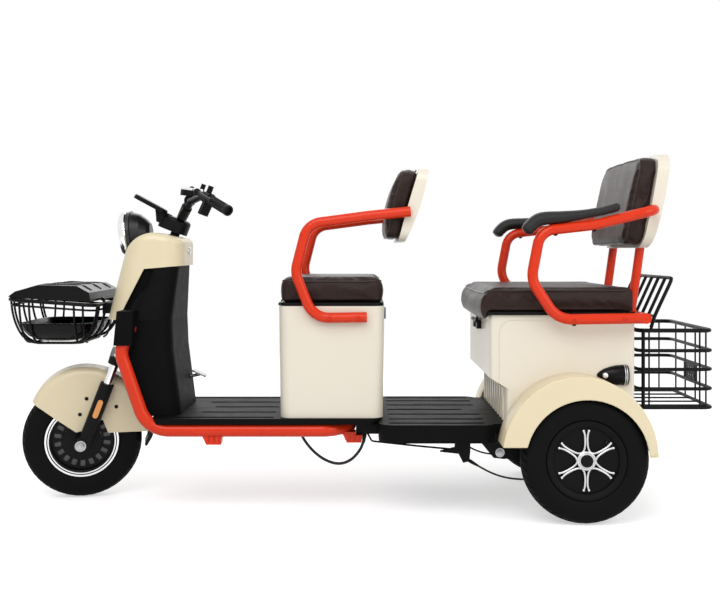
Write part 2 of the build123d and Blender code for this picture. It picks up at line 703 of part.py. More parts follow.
def groove(x0, x1, y, z, depth):
    """Round-ended groove cut down from a deck's top."""
    length = x1 - x0
    return Pos((x0 + x1) / 2, y, z - depth) * extrude(SlotOverall(length, DECK_GROOVE), depth + 1)


def front_deck():
    """Foot deck with lengthwise grooves and a gland for the cable below."""
    deck = Pos((DECK_FRONT_X + DECK_REAR_X) / 2, 0, RAIL_TOP_Z + SEAT) * extrude(
        RectangleRounded(DECK_REAR_X - DECK_FRONT_X, 2 * DECK_HALF, 30), DECK_THICK)
    end = SEAT_BOX_FRONT_X - 14
    for y, start in ((0, -475.0), (105, -505.0), (205, DECK_FRONT_X + 60)):
        for side in (-1, 1) if y else (1,):
            deck -= groove(start, end, side * y, DECK_TOP, 3)
    keep_clear = rail(-1, 2 * SEAT) + rail(1, 2 * SEAT)
    deck = deck - keep_clear - down_tube(2 * SEAT)
    deck = max(deck.solids(), key=lambda s: s.volume)
    x, y, z = FLOOR_CABLE[0]
    return deck + rod((x, y, z), (x, y, RAIL_TOP_Z + SEAT + 1), GLAND_DIA)


def rear_deck():
    """Wide skirted deck ahead of the bench, with a tongue into the heel recess."""
    x0 = DECK_REAR_X + SEAT
    length = REAR_DECK_END_X - x0
    outline = RectangleRounded(length, 2 * REAR_DECK_HALF, 45)
    inner = RectangleRounded(length - 2 * PANEL_WALL, 2 * (REAR_DECK_HALF - PANEL_WALL), 40)
    place = Pos((x0 + REAR_DECK_END_X) / 2, 0, REAR_DECK_TOP - REAR_DECK_SKIRT)
    deck = place * extrude(outline, REAR_DECK_SKIRT) - place * extrude(inner,
                                                                       REAR_DECK_SKIRT - REAR_DECK_THICK)
    tongue_end = BODY_FRONT_X + RECESS_DEPTH - SEAT
    deck += block(REAR_DECK_END_X - 60, tongue_end, -BODY_HALF + 6, BODY_HALF - 6,
                  REAR_DECK_TOP - REAR_DECK_THICK, REAR_DECK_TOP)
    for y, margin in ((0, 57), (95, 8), (187, 8), (262, 12)):
        for side in (-1, 1) if y else (1,):
            deck -= groove(x0 + 30, BODY_FRONT_X - margin, side * y, REAR_DECK_TOP, 2.5)
    for side in (-1, 1):
        y = side * RAIL_END_HALF
        deck -= block(x0 - 5, REAR_DECK_END_X + 5, y - BEAM_WIDTH / 2 - 1, y + BEAM_WIDTH / 2 + 1,
                      SUBFRAME_TOP - BEAM_HEIGHT - 10, SUBFRAME_TOP + SEAT)
        deck -= block(x0 - 5, x0 + 20, -RAIL_END_HALF, RAIL_END_HALF, SUBFRAME_TOP - BEAM_HEIGHT - 10,
                      SUBFRAME_TOP + SEAT)
        deck -= block(REAR_DECK_END_X - 60, REAR_DECK_END_X + 5, side * 205 - 60, side * 205 + 60,
                      SUBFRAME_TOP - BEAM_HEIGHT - 10, SUBFRAME_TOP + SEAT)
    return deck


def brake_bracket():
    """Left hanging bracket with its pointed lever, the pull rod from the front and the cable's gland."""
    low = SUBFRAME_TOP - BEAM_HEIGHT
    y = -RAIL_END_HALF - BEAM_WIDTH / 4
    plate = polygon([(302, low + 6), (350, low + 6), (349, 176), (346, 146), (326, 142), (312, 170),
                     (254, 176),
                     (256, 179), (300, 190)])
    pull = tube([(24, y, low + 6), (40, y, 209), (190, y, 193), (310, y, 182)], 6, [12, 60])
    x1, y1, z1 = BRAKE_CABLE[0]
    x2, y2, z2 = BRAKE_CABLE[1]
    gland = rod((x1 - (x2 - x1) * 0.7, y1 - (y2 - y1) * 0.7, z1 - (z2 - z1) * 0.7), (x1, y1, z1), 11)
    return side_form(plate, y - 6, y + 6) + pull + gland


def rear_subframe():
    """Black box-section frame under the rear deck and body, with the swing-arm pivot plates."""
    front = RAIL_END_X + RAIL_DIA / 2 + SEAT
    low = SUBFRAME_TOP - BEAM_HEIGHT
    frame = Part()
    for side in (-1, 1):
        y = side * RAIL_END_HALF
        frame += block(front, BODY_REAR_X, y - BEAM_WIDTH / 2, y + BEAM_WIDTH / 2, low, SUBFRAME_TOP)
    for x in (front + 20, BODY_REAR_X - 20):
        frame += block(x - 18, x + 18, -RAIL_END_HALF, RAIL_END_HALF, low, SUBFRAME_TOP)
    frame += block(362, 398, -PIVOT_PLATE_HALF, PIVOT_PLATE_HALF, low, SUBFRAME_TOP)
    for side in (-1, 1):
        y = side * (PIVOT_PLATE_HALF - 3)
        plate = polygon([(362, SUBFRAME_TOP), (398, SUBFRAME_TOP), (PIVOT[0] + 20, PIVOT[1] + 10),
                         (PIVOT[0] + 16, PIVOT[1] - 20), (PIVOT[0] - 20, PIVOT[1] - 16), (362, low)])
        frame += side_form(plate, y - 3, y + 3)
    x, y, z = FLOOR_CABLE[-1]
    frame += rod((x, y, z), (x, y, low + 4), GLAND_DIA)
    return frame + mirrored(brake_bracket())


def rear_axle():
    """Axle tube with the drive unit, half shafts and trailing arms to the pivot bolts."""
    reach = REAR_TRACK / 2 - HUB_HALF - RUN
    body = disc(30, -reach, reach) + disc(78, -90, 70)
    body += disc(HALF_SHAFT_DIA / 2, -REAR_TRACK / 2 + 12, REAR_TRACK / 2 - 12)
    axle = Pos(REAR_AXLE_X, 0, AXLE_Z) * body
    for side in (-1, 1):
        y = side * (PIVOT_PLATE_HALF - 6 - SEAT - 12)
        axle += side_form(polygon([(PIVOT[0] - 18, PIVOT[1] - 14), (PIVOT[0] - 18, PIVOT[1] + 16), (500, 196),
                                   (REAR_AXLE_X, AXLE_Z + 28), (REAR_AXLE_X, AXLE_Z - 28), (500, 160)]),
                                   y - 12, y + 12)
    x0, y0, z0 = BRAKE_CABLE[-2]
    x1, y1, z1 = BRAKE_CABLE[-1]
    return axle + mirrored(rod((x1, y1, z1), (x1 + (x1 - x0), y1 + (y1 - y0), z1 + (z1 - z0)), 11))


# Seats

def rounded_box(x0, x1, half, z0, z1, corner, edge):
    """Cushion form: rounded plan and softened top edge."""
    body = Pos((x0 + x1) / 2, 0, z0) * extrude(RectangleRounded(x1 - x0, 2 * half, corner), z1 - z0)
    return fillet(body.edges().group_by(Axis.Z)[-1], edge)


def seat_box_form(inset, floor):
    low = DECK_TOP + SEAT + floor
    middle = (SEAT_BOX_FRONT_X + SEAT_BOX_REAR_X) / 2
    length = SEAT_BOX_REAR_X - SEAT_BOX_FRONT_X
    bottom = Pos(middle, 0, low) * RectangleRounded(
        length - SEAT_BOX_TAPER - 2 * inset, 2 * (SEAT_BOX_HALF - inset), SEAT_BOX_CORNER - inset)
    top = Pos(middle, 0, SEAT_BOX_TOP_Z) * RectangleRounded(
        length - 2 * inset, 2 * (SEAT_BOX_HALF - inset), SEAT_BOX_CORNER - inset)
    return loft([bottom, top], ruled=True)


def front_seat_box():
    return seat_box_form(0, 0) - seat_box_form(PANEL_WALL, PANEL_WALL)


def battery_block():
    z0 = DECK_TOP + SEAT + PANEL_WALL + SEAT
    return block(SEAT_BOX_FRONT_X + 40, SEAT_BOX_REAR_X - 40, -160, 160, z0, z0 + 190)


HINGE_DIA = 12.0
HINGE_PIN = 6.0
FRONT_HINGE = (SEAT_BOX_FRONT_X - HINGE_DIA / 2 - 1, SEAT_BOX_TOP_Z - 2)
HINGE_GAP = 8.0
LEAF_THICK = 3.5
REAR_HINGE = (BODY_FRONT_X - HINGE_GAP - HINGE_DIA / 2, BENCH_NOSE_Z - HINGE_DIA / 2 - RUN)


def hinge_fixed(x, z, plate):
    """Outer knuckles with the pin, on a plate."""
    body = Part()
    for side in (-1, 1):
        body += Pos(x, side * 42, z) * (Rot(90, 0, 0) * Cylinder(HINGE_DIA / 2, 36))
    body += Pos(x, 0, z) * (Rot(90, 0, 0) * Cylinder(HINGE_PIN / 2, 90))
    return body + plate


def hinge_moving(x, z, plate):
    """Middle knuckle, bored for the pin, on its plate."""
    body = Pos(x, 0, z) * (Rot(90, 0, 0) * Cylinder(HINGE_DIA / 2, 46))
    return body + plate - Pos(x, 0, z) * (Rot(90, 0, 0) * Cylinder(HINGE_PIN / 2 + PIN_FIT, 60))


def front_hinge():
    x, z = FRONT_HINGE
    wall = SEAT_BOX_FRONT_X - SEAT
    plate = Part()
    for side in (-1, 1):
        plate += block(x, wall, side * 42 - 18, side * 42 + 18, z - 26, z)
    return hinge_fixed(x, z, plate)


def front_seat_pan():
    """Stiff base of the front cushion with its hinge knuckle."""
    x, z = FRONT_HINGE
    z0 = SEAT_BOX_TOP_Z + SEAT
    pan = Pos((SEAT_BOX_FRONT_X + SEAT_BOX_REAR_X) / 2, 0, z0) * extrude(
        RectangleRounded(SEAT_BOX_REAR_X - SEAT_BOX_FRONT_X - 4, 2 * FRONT_CUSHION_HALF, 34), PAN_THICK)
    leaf = block(x, SEAT_BOX_FRONT_X + 20, -23, 23, z0 + 1, z0 + PAN_THICK)
    return pan + hinge_moving(x, z, leaf)


def front_cushion():
    z0 = SEAT_BOX_TOP_Z + SEAT + PAN_THICK + SEAT
    return rounded_box(SEAT_BOX_FRONT_X - 2, SEAT_BOX_REAR_X + 2, FRONT_CUSHION_HALF + 1, z0,
                       z0 + CUSHION_THICK, 36, 24)


def seat_hinges():
    """Fixed halves of both seat hinges."""
    return front_hinge() + bench_hinge()


def seat_latch():
    """Small latch on the back of the front seat box."""
    x = SEAT_BOX_REAR_X + SEAT
    return block(x, x + 8, -22, 22, SEAT_BOX_TOP_Z - 52, SEAT_BOX_TOP_Z - 16)


FRONT_ARM_Y = SEAT_BOX_HALF + ARM_DIA / 2 + SEAT


def front_arms():
    """Looped red arm tube on each side of the front seat."""
    arms = Part()
    for side in (-1, 1):
        y = side * FRONT_ARM_Y
        arms += tube([(24, y, 603), (-140, y, 601), (-196, y, 740), (-158, y, 889), (30, y, 914),
                      (158, y, 927)],
                     ARM_DIA, [70, 80, 60, 200])
    return arms


def back_form(front, back, half, low, high, corner):
    """Leaning slab between a front and a back line, its outline rounded as seen from ahead."""
    front = Spline(*front)
    back = Spline(*back)
    face = make_face([*front.edges(), *Line(front @ 1, back @ 1).edges(), *back.edges(),
                      *Line(front @ 0, back @ 0).edges()])
    slab = side_form(face, -half, half)
    mask = Plane.YZ * (Pos(0, (low + high) / 2) * RectangleRounded(2 * half, high - low, corner))
    return slab & (Pos(-200, 0, 0) * extrude(mask, 1400))


def front_back_pad():
    return back_form([(84, 830), (90, 938), (136, 1066)], [(120 - SEAT, 830), (153 - SEAT, 953),
                                                           (188 - SEAT, 1066)],
                     FRONT_BACK_HALF - 4, 838, 1062, 40)


def front_back_shell():
    return back_form([(120, 830), (153, 953), (188, 1066)], [(140, 830), (187, 940), (217, 1066)],
                     FRONT_BACK_HALF, 834, 1064, 42)


def rear_body():
    """Hollow bench body: a shell open on top, its front recessed below for the heels."""
    low = REAR_DECK_TOP + SEAT
    outline = polygon([(BODY_FRONT_X, BODY_TOP_Z), (BODY_FRONT_X, RECESS_TOP_Z),
                       (BODY_FRONT_X + RECESS_DEPTH, RECESS_TOP_Z - 30),
                       (BODY_FRONT_X + RECESS_DEPTH, low), (BODY_REAR_X, low), (BODY_REAR_X, BODY_TOP_Z)])
    w = PANEL_WALL
    inner = polygon([(BODY_FRONT_X + w, BODY_TOP_Z + 5), (BODY_FRONT_X + w, RECESS_TOP_Z + 2),
                     (BODY_FRONT_X + RECESS_DEPTH + w, RECESS_TOP_Z - 28),
                     (BODY_FRONT_X + RECESS_DEPTH + w, low + w),
                     (BODY_REAR_X - w, low + w), (BODY_REAR_X - w, BODY_TOP_Z + 5)])
    outer = side_form(outline, -BODY_HALF, BODY_HALF)
    corners = [e for e in outer.edges().filter_by(Axis.Z)]
    outer = fillet(corners, 12)
    body = outer - side_form(inner, -BODY_HALF + w, BODY_HALF - w)
    seam = RectangleRounded(680, 600, 38) - RectangleRounded(673, 593, 34.5)
    panel = Pos(BODY_FRONT_X + 26 + 340, BODY_TOP_Z - 15 - 300) * seam
    body -= mirrored(side_form(panel, -BODY_HALF - 1, -BODY_HALF + 1.6))
    rib_x = BODY_FRONT_X + RECESS_DEPTH
    for index in range(RECESS_RIBS):
        y = RECESS_RIB_SPAN * (index / (RECESS_RIBS - 1) - 0.5)
        body += block(rib_x - 6, rib_x + 1, y - 7, y + 7, low + 4, RECESS_TOP_Z - 34)
    return body


def rear_fender(side):
    """Arched fender over a rear wheel, open toward the body and below."""
    centre_x = REAR_AXLE_X - 22
    arch = Pos(centre_x, 200) * Ellipse(228, 239)
    inner = Pos(centre_x, 200) * Ellipse(228 - FENDER_WALL, 239 - FENDER_WALL)
    opening = Pos(REAR_AXLE_X, AXLE_Z) * Circle(FENDER_ARCH_R)
    below = Pos(centre_x - 130, 0) * Rectangle(400, 464) + Pos(centre_x + 200, 0) * Rectangle(400, 408)
    y_in = BODY_HALF + SEAT
    y_out = FENDER_OUTER_Y
    shell = side_form(arch - below, -y_out, -y_in) - side_form(inner, -y_out + FENDER_WALL, -y_in + 1)
    shell -= side_form(opening, -y_out - 1, -y_in + 1)
    if side > 0:
        shell = mirror(shell, about=Plane.XZ)
    return shell


def bench_pan():
    """Stiff base of the bench cushion, its hinge leaf hanging in front of the body."""
    x, z = REAR_HINGE
    z0 = BODY_TOP_Z + SEAT
    front = BODY_FRONT_X - HINGE_GAP
    pan = block(front, BODY_REAR_X - 2, -BENCH_HALF + 10, BENCH_HALF - 10, z0, z0 + PAN_THICK)
    leaf = block(front, front + LEAF_THICK, -23, 23, z, z0 + 1) + block(x, front + 1, -23, 23, z - 3, z + 3)
    return pan + hinge_moving(x, z, leaf)


def bench_hinge():
    x, z = REAR_HINGE
    plate = Part()
    for side in (-1, 1):
        plate += block(x, BODY_FRONT_X - SEAT, side * 42 - 18, side * 42 + 18, z - 26, z)
    return hinge_fixed(x, z, plate)


def bench_cushion():
    """Bench cushion with a nose that droops in front of the body."""
    z0 = BODY_TOP_Z + SEAT + PAN_THICK + SEAT
    z1 = z0 + 70
    back = BODY_FRONT_X - HINGE_GAP - SEAT
    outline = polygon([(BENCH_NOSE_X, BENCH_NOSE_Z + 26), (BENCH_NOSE_X + 6, z1 - 22),
                       (BENCH_NOSE_X + 34, z1),
                       (BODY_REAR_X - 3, z1), (BODY_REAR_X - 3, z0), (back, z0),
                       (back, BENCH_NOSE_Z), (BENCH_NOSE_X + 12, BENCH_NOSE_Z)])
    return side_form(outline, -BENCH_HALF, BENCH_HALF)


def rear_arm_frame():
    """Red loop arms, the cross tube behind the body and the backrest legs."""
    cross_x = BODY_REAR_X + ARM_DIA / 2 + SEAT
    frame = Part()
    for side in (-1, 1):
        y = side * REAR_ARM_HALF
        frame += tube([(cross_x, y, 606), (590, y, 602), (512, y, 720), (540, y, 866), (700, y, 884),
                       (888, y, 930),
                       (888, side * (BACK_HALF + SEAT), 930)], ARM_DIA, [80, 80, 55, 150, 40])
        leg_y = side * BACK_LEG_HALF
        leg = rod((cross_x, leg_y, 606), (884, leg_y, 840), BACK_LEG_DIA)
        frame += leg - block(700, 1000, leg_y - 30, leg_y + 30, BACK_LOW_Z - SEAT, 900)
    frame += rod((cross_x, -REAR_ARM_HALF - 14, 606), (cross_x, REAR_ARM_HALF + 14, 606), ARM_DIA)
    return frame


def rear_arm_pads():
    """Padded rests along the top of both rear arms."""
    pads = Part()
    for side in (-1, 1):
        y = side * REAR_ARM_HALF
        path = bent_path([(512, y, 862), (548, y, 903), (700, y, 918), (776, y, 937)], [30, 150])
        section = Plane(origin=path @ 0, z_dir=path % 0, x_dir=(0, 1, 0)) * RectangleRounded(44, 34, 12)
        pad = sweep(section, path=path)
        core = tube([(590, y, 602), (512, y, 720), (540, y, 866), (700, y, 884), (888, y, 930)],
                    ARM_DIA + 2 * SEAT, [80, 55, 150])
        pads += pad - core
    return pads


def rear_back_pad():
    return back_form([(812, 810), (835, 960), (874, 1110)], [(866 - SEAT, 810), (898 - SEAT, 960),
                                                             (922 - SEAT, 1110)],
                     BACK_HALF - 3, BACK_LOW_Z, 1104, 55)


def rear_back_shell():
    return back_form([(866, 810), (898, 960), (922, 1110)], [(894, 810), (932, 950), (957, 1110)],
                     BACK_HALF, BACK_LOW_Z, 1106, 57)


def side_lamps():
    """Teardrop lamp on each side of the body."""
    outline = polygon([(716, 432), (758, 462), (812, 458), (812, 400), (776, 408)], 5)
    lamp = side_form(outline, -BODY_HALF - SEAT - 26, -BODY_HALF - SEAT)
    return mirrored(lamp)


# Headlight

LAMP_AT = (-768.0, 860.0)
LAMP_RADIUS = 74.0
LAMP_TILT = -6.0


def lamp_place(part):
    """Turns a piece drawn about Y (face at -Y) to face forward, tipped down a little."""
    return Pos(LAMP_AT[0], 0, LAMP_AT[1]) * (Rot(0, LAMP_TILT, 0) * (Rot(0, 0, -90) * part))


def headlight_bucket():
    profile = turned([(2, 0), (2, LAMP_RADIUS - 6), (4, LAMP_RADIUS), (24, LAMP_RADIUS),
                      (54, LAMP_RADIUS - 12),
                      (74, 44), (84, 30), (84, 0)])
    return lamp_place(profile) - cowl_form(-SEAT)


def headlight_rim():
    ring = turned([(-10, LAMP_RADIUS - 14), (-10, LAMP_RADIUS - 4), (-2, LAMP_RADIUS + 3),
                   (1.7, LAMP_RADIUS + 3),
                   (1.7, LAMP_RADIUS - 14)])
    return lamp_place(ring)


def headlight_lens():
    lens = turned([(1.7, 0), (1.7, LAMP_RADIUS - 14 - SEAT), (-8, LAMP_RADIUS - 14 - SEAT), (-18, 34),
                   (-20, 0)])
    return lamp_place(lens)


# Baskets

def front_basket():
    """Wire basket over a solid tub, bolted to the cowl apron."""
    half = FRONT_BASKET_HALF
    nose = FRONT_BASKET_NOSE_X + WIRE
    tail = FRONT_BASKET_TAIL_X
    tub_out = polygon([(-1068, 578), (-1046, 524), (-872, 510), (tail - 12, 534), (tail - 8, 578)])
    tub_in = polygon([(-1064.5, 590), (-1042.5, 528), (-872.5, 514), (tail - 16, 537), (tail - 12, 590)])
    tub = side_form(tub_out, -half + 12, half - 12) - side_form(tub_in, -half + 16, half - 16)
    basket = tub + ring_tube([(nose, 0, 655), (nose, -half, 655), (tail, -half, 636), (tail, 0, 636)], 12, 34)
    for x_top, x_low in ((-1050, -1030), (-990, -980), (-930, -925), (-870, -870)):
        z = 636 + (tail - x_top) * 19 / (tail - nose)
        basket += mirrored(rod((x_top, -half, z), (x_low, -half + 14, 560), WIRE))
    for y in (-120, -60, 0, 60, 120):
        basket += rod((nose, y, 655), (-1060, y, 560), WIRE)
    for y in (-150, -60, 60, 150):
        basket += rod((tail, y, 636), (tail - 10, y, 556), WIRE)
    bracket = block(tail - 4, tail + 30, -74, -46, 604, 640) + block(tail - 4, tail + 30, 46, 74, 604, 640)
    x, z = BASKET_HINGE
    for y in (-LID_EAR, LID_EAR):
        basket += block(x - 4, x + 4, y - 4, y + 4, 636, z + 4)
    basket += rod((x, -LID_EAR - 26, z), (x, LID_EAR + 26, z), HINGE_PIN)
    return basket + (bracket - cowl_form(-SEAT))


BASKET_HINGE = (FRONT_BASKET_TAIL_X, 652.0)
LID_EAR = 70.0


def basket_lid():
    """Domed lid, hinged at its rear edge."""
    half = FRONT_BASKET_HALF
    dome = polygon([(-1094, 664), (-1072, 680), (-1000, 700), (-880, 697), (-842, 676), (-836, 649)])
    under = polygon([(-1086, 662), (-1070, 676), (-1000, 696), (-880, 693), (-845, 673), (-840, 640),
                     (-1090, 640)])
    x, z = BASKET_HINGE
    lid = side_form(dome, -half + 2, half - 2) - side_form(under, -half + 6, half - 6)
    for y in (-LID_EAR - 13, LID_EAR + 13):
        lid += Pos(x, y, z) * (Rot(90, 0, 0) * Cylinder(HINGE_DIA / 2, 16))
        lid += block(-840, x, y - 8, y + 8, z - 2, z + 3)
        lid -= Pos(x, y, z) * (Rot(90, 0, 0) * Cylinder(HINGE_PIN / 2 + PIN_FIT, 20))
    return lid


def basket_loop(z, dia):
    x0, x1, half = REAR_BASKET_START_X + 6, REAR_BASKET_END_X - dia / 2, REAR_BASKET_HALF - dia / 2
    return ring_tube([(x0, 0, z), (x0, -half, z), (x1, -half, z), (x1, 0, z)], dia, 26)


def rear_basket():
    """Open wire basket behind the body, with its clamps."""
    basket = basket_loop(REAR_BASKET_RIM_Z, RIM_WIRE)
    for z in (REAR_BASKET_FLOOR_Z, 380.0, 440.0, 498.0):
        basket += basket_loop(z, WIRE)
    half = REAR_BASKET_HALF - WIRE / 2
    x0 = REAR_BASKET_START_X + 6
    x1 = REAR_BASKET_END_X - WIRE / 2
    low = REAR_BASKET_FLOOR_Z
    for y in (-150, -50, 50, 150):
        basket += rod((x1, y, low), (x1, y, REAR_BASKET_RIM_Z), POST)
    for x in (x0 + 32, x1 - 40):
        basket += mirrored(rod((x, -half, low), (x, -half, REAR_BASKET_RIM_Z), POST))
    for y in (-160, -80, 0, 80, 160):
        basket += rod((x0, y, low), (x1, y, low), POST)
    for y in (-120, 120):
        basket += block(BODY_REAR_X + SEAT, x0 + 2, y - 15, y + 15, 372.0, 446.0)
    plate = block(x1 - 1, x1 + 2, -64, 64, 384.0, 436.0)
    for y in (-44, -22, 0, 22, 44):
        plate -= rod((x1 - 5, y, 398), (x1 + 5, y, 398), 11) + rod((x1 - 5, y, 422), (x1 + 5, y, 422), 11)
    return basket + plate


def basket_back():
    """Slatted back panel that leans back above the rear basket."""
    half = REAR_BASKET_HALF - RIM_WIRE / 2
    z0 = REAR_BASKET_RIM_Z + RIM_WIRE / 2 + SEAT
    outline = [(900, -half, z0 - 10), (914, -half, 604), (968, -half, 722), (968, half, 722),
               (914, half, 604),
               (900, half, z0 - 10)]
    panel = tube(outline, 9, [40, 18, 18, 40])
    for y in (-140, -70, 0, 70, 140):
        panel += rod((914, y, 604), (968, y, 722), WIRE)
    panel += rod((914, -half, 604), (914, half, 604), WIRE)
    keep = block(800, 1100, -400, 400, z0, 900)
    return panel & keep


def brake_pedal():
    """Foot brake: a short post from the back of the leg shield and a sloped plate."""
    y, z = 96.0, 381.0
    plate = fillet(Box(50, 46, 5).edges().filter_by(Axis.Z), 8)
    post = rod((shield_rear_x(z) + SEAT, y, z), (-540, y, z + 7), 11)
    return post + Pos(-541, y, 392) * (Rot(0, 24, 0) * plate)


NODES = {
    "front_tyre": at_front_axle(tyre()),
    "front_rim": at_front_axle(front_rim()),
    "front_rim_rings": at_front_axle(front_rim_rings()),
    "front_axle": front_axle(),
    "steering_stem": steering_stem(),
    "fork_stanchions": fork_stanchions(),
    "fork_legs": fork_legs(),
    "fork_reflectors": reflectors(),
    "front_fender": front_fender(),
    "mud_flap": mud_flap(),
    "handlebar": handlebar(),
    "steering_cover": steering_cover(),
    "grips": grips(),
    "bar_controls": brake_levers() + switch_pod(),
    "dash": dash(),
    "main_frame": main_frame(),
    "front_cowl": front_cowl(),
    "leg_shield": leg_shield(),
    "front_deck": front_deck(),
    "rear_deck": rear_deck(),
    "rear_subframe": rear_subframe(),
    "rear_axle": rear_axle(),
    "front_seat_box": front_seat_box(),
    "battery_block": battery_block(),
    "seat_hinges": seat_hinges(),
    "front_seat_pan": front_seat_pan(),
    "front_cushion": front_cushion(),
    "seat_latch": seat_latch(),
    "front_arms": front_arms(),
    "front_back_pad": front_back_pad(),
    "front_back_shell": front_back_shell(),
    "rear_body": rear_body(),
    "rear_arm_frame": rear_arm_frame(),
    "rear_arm_pads": rear_arm_pads(),
    "bench_pan": bench_pan(),
    "bench_cushion": bench_cushion(),
    "rear_back_pad": rear_back_pad(),
    "rear_back_shell": rear_back_shell(),
    "side_lamps": side_lamps(),
    "headlight_bucket": headlight_bucket(),
    "headlight_rim": headlight_rim(),
    "headlight_lens": headlight_lens(),
    "front_basket": front_basket(),
    "basket_lid": basket_lid(),
    "rear_basket": rear_basket(),
    "basket_back": basket_back(),
    "brake_pedal": brake_pedal(),
    "underfloor_cable": cable(FLOOR_CABLE, FLOOR_CABLE_DIA),
    "brake_cable_left": brake_cable(-1),
    "brake_cable_right": brake_cable(1),
}
for name, side in (("left", -1), ("right", 1)):
    NODES[f"rear_tyre_{name}"] = at_rear_axle(tyre(), side)
    NODES[f"rear_rim_{name}"] = at_rear_axle(rear_rim(), side)
    NODES[f"rear_star_{name}"] = at_rear_axle(rear_star(), side)
    NODES[f"rear_fender_{name}"] = rear_fender(side)

os.makedirs("parts", exist_ok=True)
for name, part in NODES.items():
    export_step(part, f"parts/{name}.step")
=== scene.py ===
"""Looks of an electric fat-tyre tricycle, dressed over its CAD frame.

Metres. -X is forward, -Y is the rider's left and +Z is up, as in the frame.
"""
from __future__ import annotations

import json
import logging
import math
from collections.abc import Callable, Sequence
from dataclasses import dataclass, field
from enum import Enum

import bmesh
import bpy
from mathutils import Matrix, Vector
from mathutils.bvhtree import BVHTree

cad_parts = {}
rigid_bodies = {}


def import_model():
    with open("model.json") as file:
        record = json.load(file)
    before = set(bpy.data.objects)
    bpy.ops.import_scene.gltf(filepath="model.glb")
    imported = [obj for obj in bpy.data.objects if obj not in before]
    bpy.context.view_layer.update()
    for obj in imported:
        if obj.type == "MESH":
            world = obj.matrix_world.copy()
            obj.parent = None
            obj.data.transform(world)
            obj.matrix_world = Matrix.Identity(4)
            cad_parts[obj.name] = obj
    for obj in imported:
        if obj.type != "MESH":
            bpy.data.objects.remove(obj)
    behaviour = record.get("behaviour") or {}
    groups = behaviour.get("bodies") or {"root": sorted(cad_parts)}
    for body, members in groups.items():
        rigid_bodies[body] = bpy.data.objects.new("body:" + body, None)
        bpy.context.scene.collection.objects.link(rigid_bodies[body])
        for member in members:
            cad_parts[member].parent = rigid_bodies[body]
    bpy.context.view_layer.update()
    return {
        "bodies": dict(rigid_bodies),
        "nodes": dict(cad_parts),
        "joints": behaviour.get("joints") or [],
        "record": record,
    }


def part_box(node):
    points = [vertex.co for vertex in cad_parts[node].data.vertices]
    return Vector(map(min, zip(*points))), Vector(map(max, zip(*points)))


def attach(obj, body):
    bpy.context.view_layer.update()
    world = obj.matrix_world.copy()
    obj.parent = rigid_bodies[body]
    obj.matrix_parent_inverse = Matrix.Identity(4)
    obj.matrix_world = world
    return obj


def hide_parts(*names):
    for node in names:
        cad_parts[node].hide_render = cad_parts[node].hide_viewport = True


LOG = logging.getLogger("tricycle")
Colour = tuple[float, float, float]
Point = tuple[float, float, float]
Pair = tuple[float, float]

# Steering: the axis meets the floor at STEER_FOOT and leans back by RAKE
STEER_FOOT = Vector((-0.938, 0.0, 0.0))
RAKE = math.radians(21.0)
PARKED = math.radians(12.0)
STEER_AXIS = Vector((math.sin(RAKE), 0.0, math.cos(RAKE)))
PARK_TURN = (Matrix.Translation(STEER_FOOT) @ Matrix.Rotation(PARKED, 4, STEER_AXIS)
             @ Matrix.Translation(-STEER_FOOT))
HEAD = Matrix.Translation(STEER_FOOT) @ Matrix.Rotation(RAKE, 4, "Y")
FRONT_HUB = PARK_TURN @ Matrix.Translation((-0.910, 0.0, 0.190))
POLE = 1e-7  # a smaller radius closes a turned form


class Tint(Enum):
    """Base colours of the finishes."""

    IVORY = (0.745, 0.690, 0.580)
    CREAM = (0.745, 0.645, 0.435)
    RED = (0.68, 0.034, 0.006)
    JET = (0.0030, 0.0030, 0.0034)
    BLACK = (0.0045, 0.0045, 0.0050)
    SOOT = (0.012, 0.012, 0.013)
    CHOCOLATE = (0.022, 0.011, 0.009)
    SILVER = (0.62, 0.62, 0.63)
    CHROME = (0.86, 0.86, 0.87)
    ZINC = (0.45, 0.45, 0.46)
    GRAPHITE = (0.10, 0.10, 0.105)
    AMBER = (0.85, 0.30, 0.012)
    GLASS = (0.80, 0.83, 0.85)


def shade_of(colour: Colour, factor: float) -> Colour:
    """Colour multiplied by a factor, held under 1."""
    return tuple(min(1.0, channel * factor) for channel in colour)


# Shader graph

class Wire:
    """A socket that takes part in arithmetic: each operator adds one Math node."""

    def __init__(self, net: "Net", socket: bpy.types.NodeSocket) -> None:
        """Keeps the graph and the socket."""
        self.net = net
        self.socket = socket

    def _math(self, operation: str, left: "Wire | float", right: "Wire | float" = 0.0) -> "Wire":
        """Adds a Math node on two operands."""
        return self.net.out("ShaderNodeMath", {"operation": operation}, {0: left, 1: right})

    def __add__(self, other: "Wire | float") -> "Wire":
        """Sum."""
        return self._math("ADD", self, other)

    __radd__ = __add__

    def __mul__(self, other: "Wire | float") -> "Wire":
        """Product."""
        return self._math("MULTIPLY", self, other)

    __rmul__ = __mul__

    def __sub__(self, other: "Wire | float") -> "Wire":
        """Difference."""
        return self._math("SUBTRACT", self, other)

    def __rsub__(self, other: "Wire | float") -> "Wire":
        """Difference with the wire on the right."""
        return self._math("SUBTRACT", other, self)


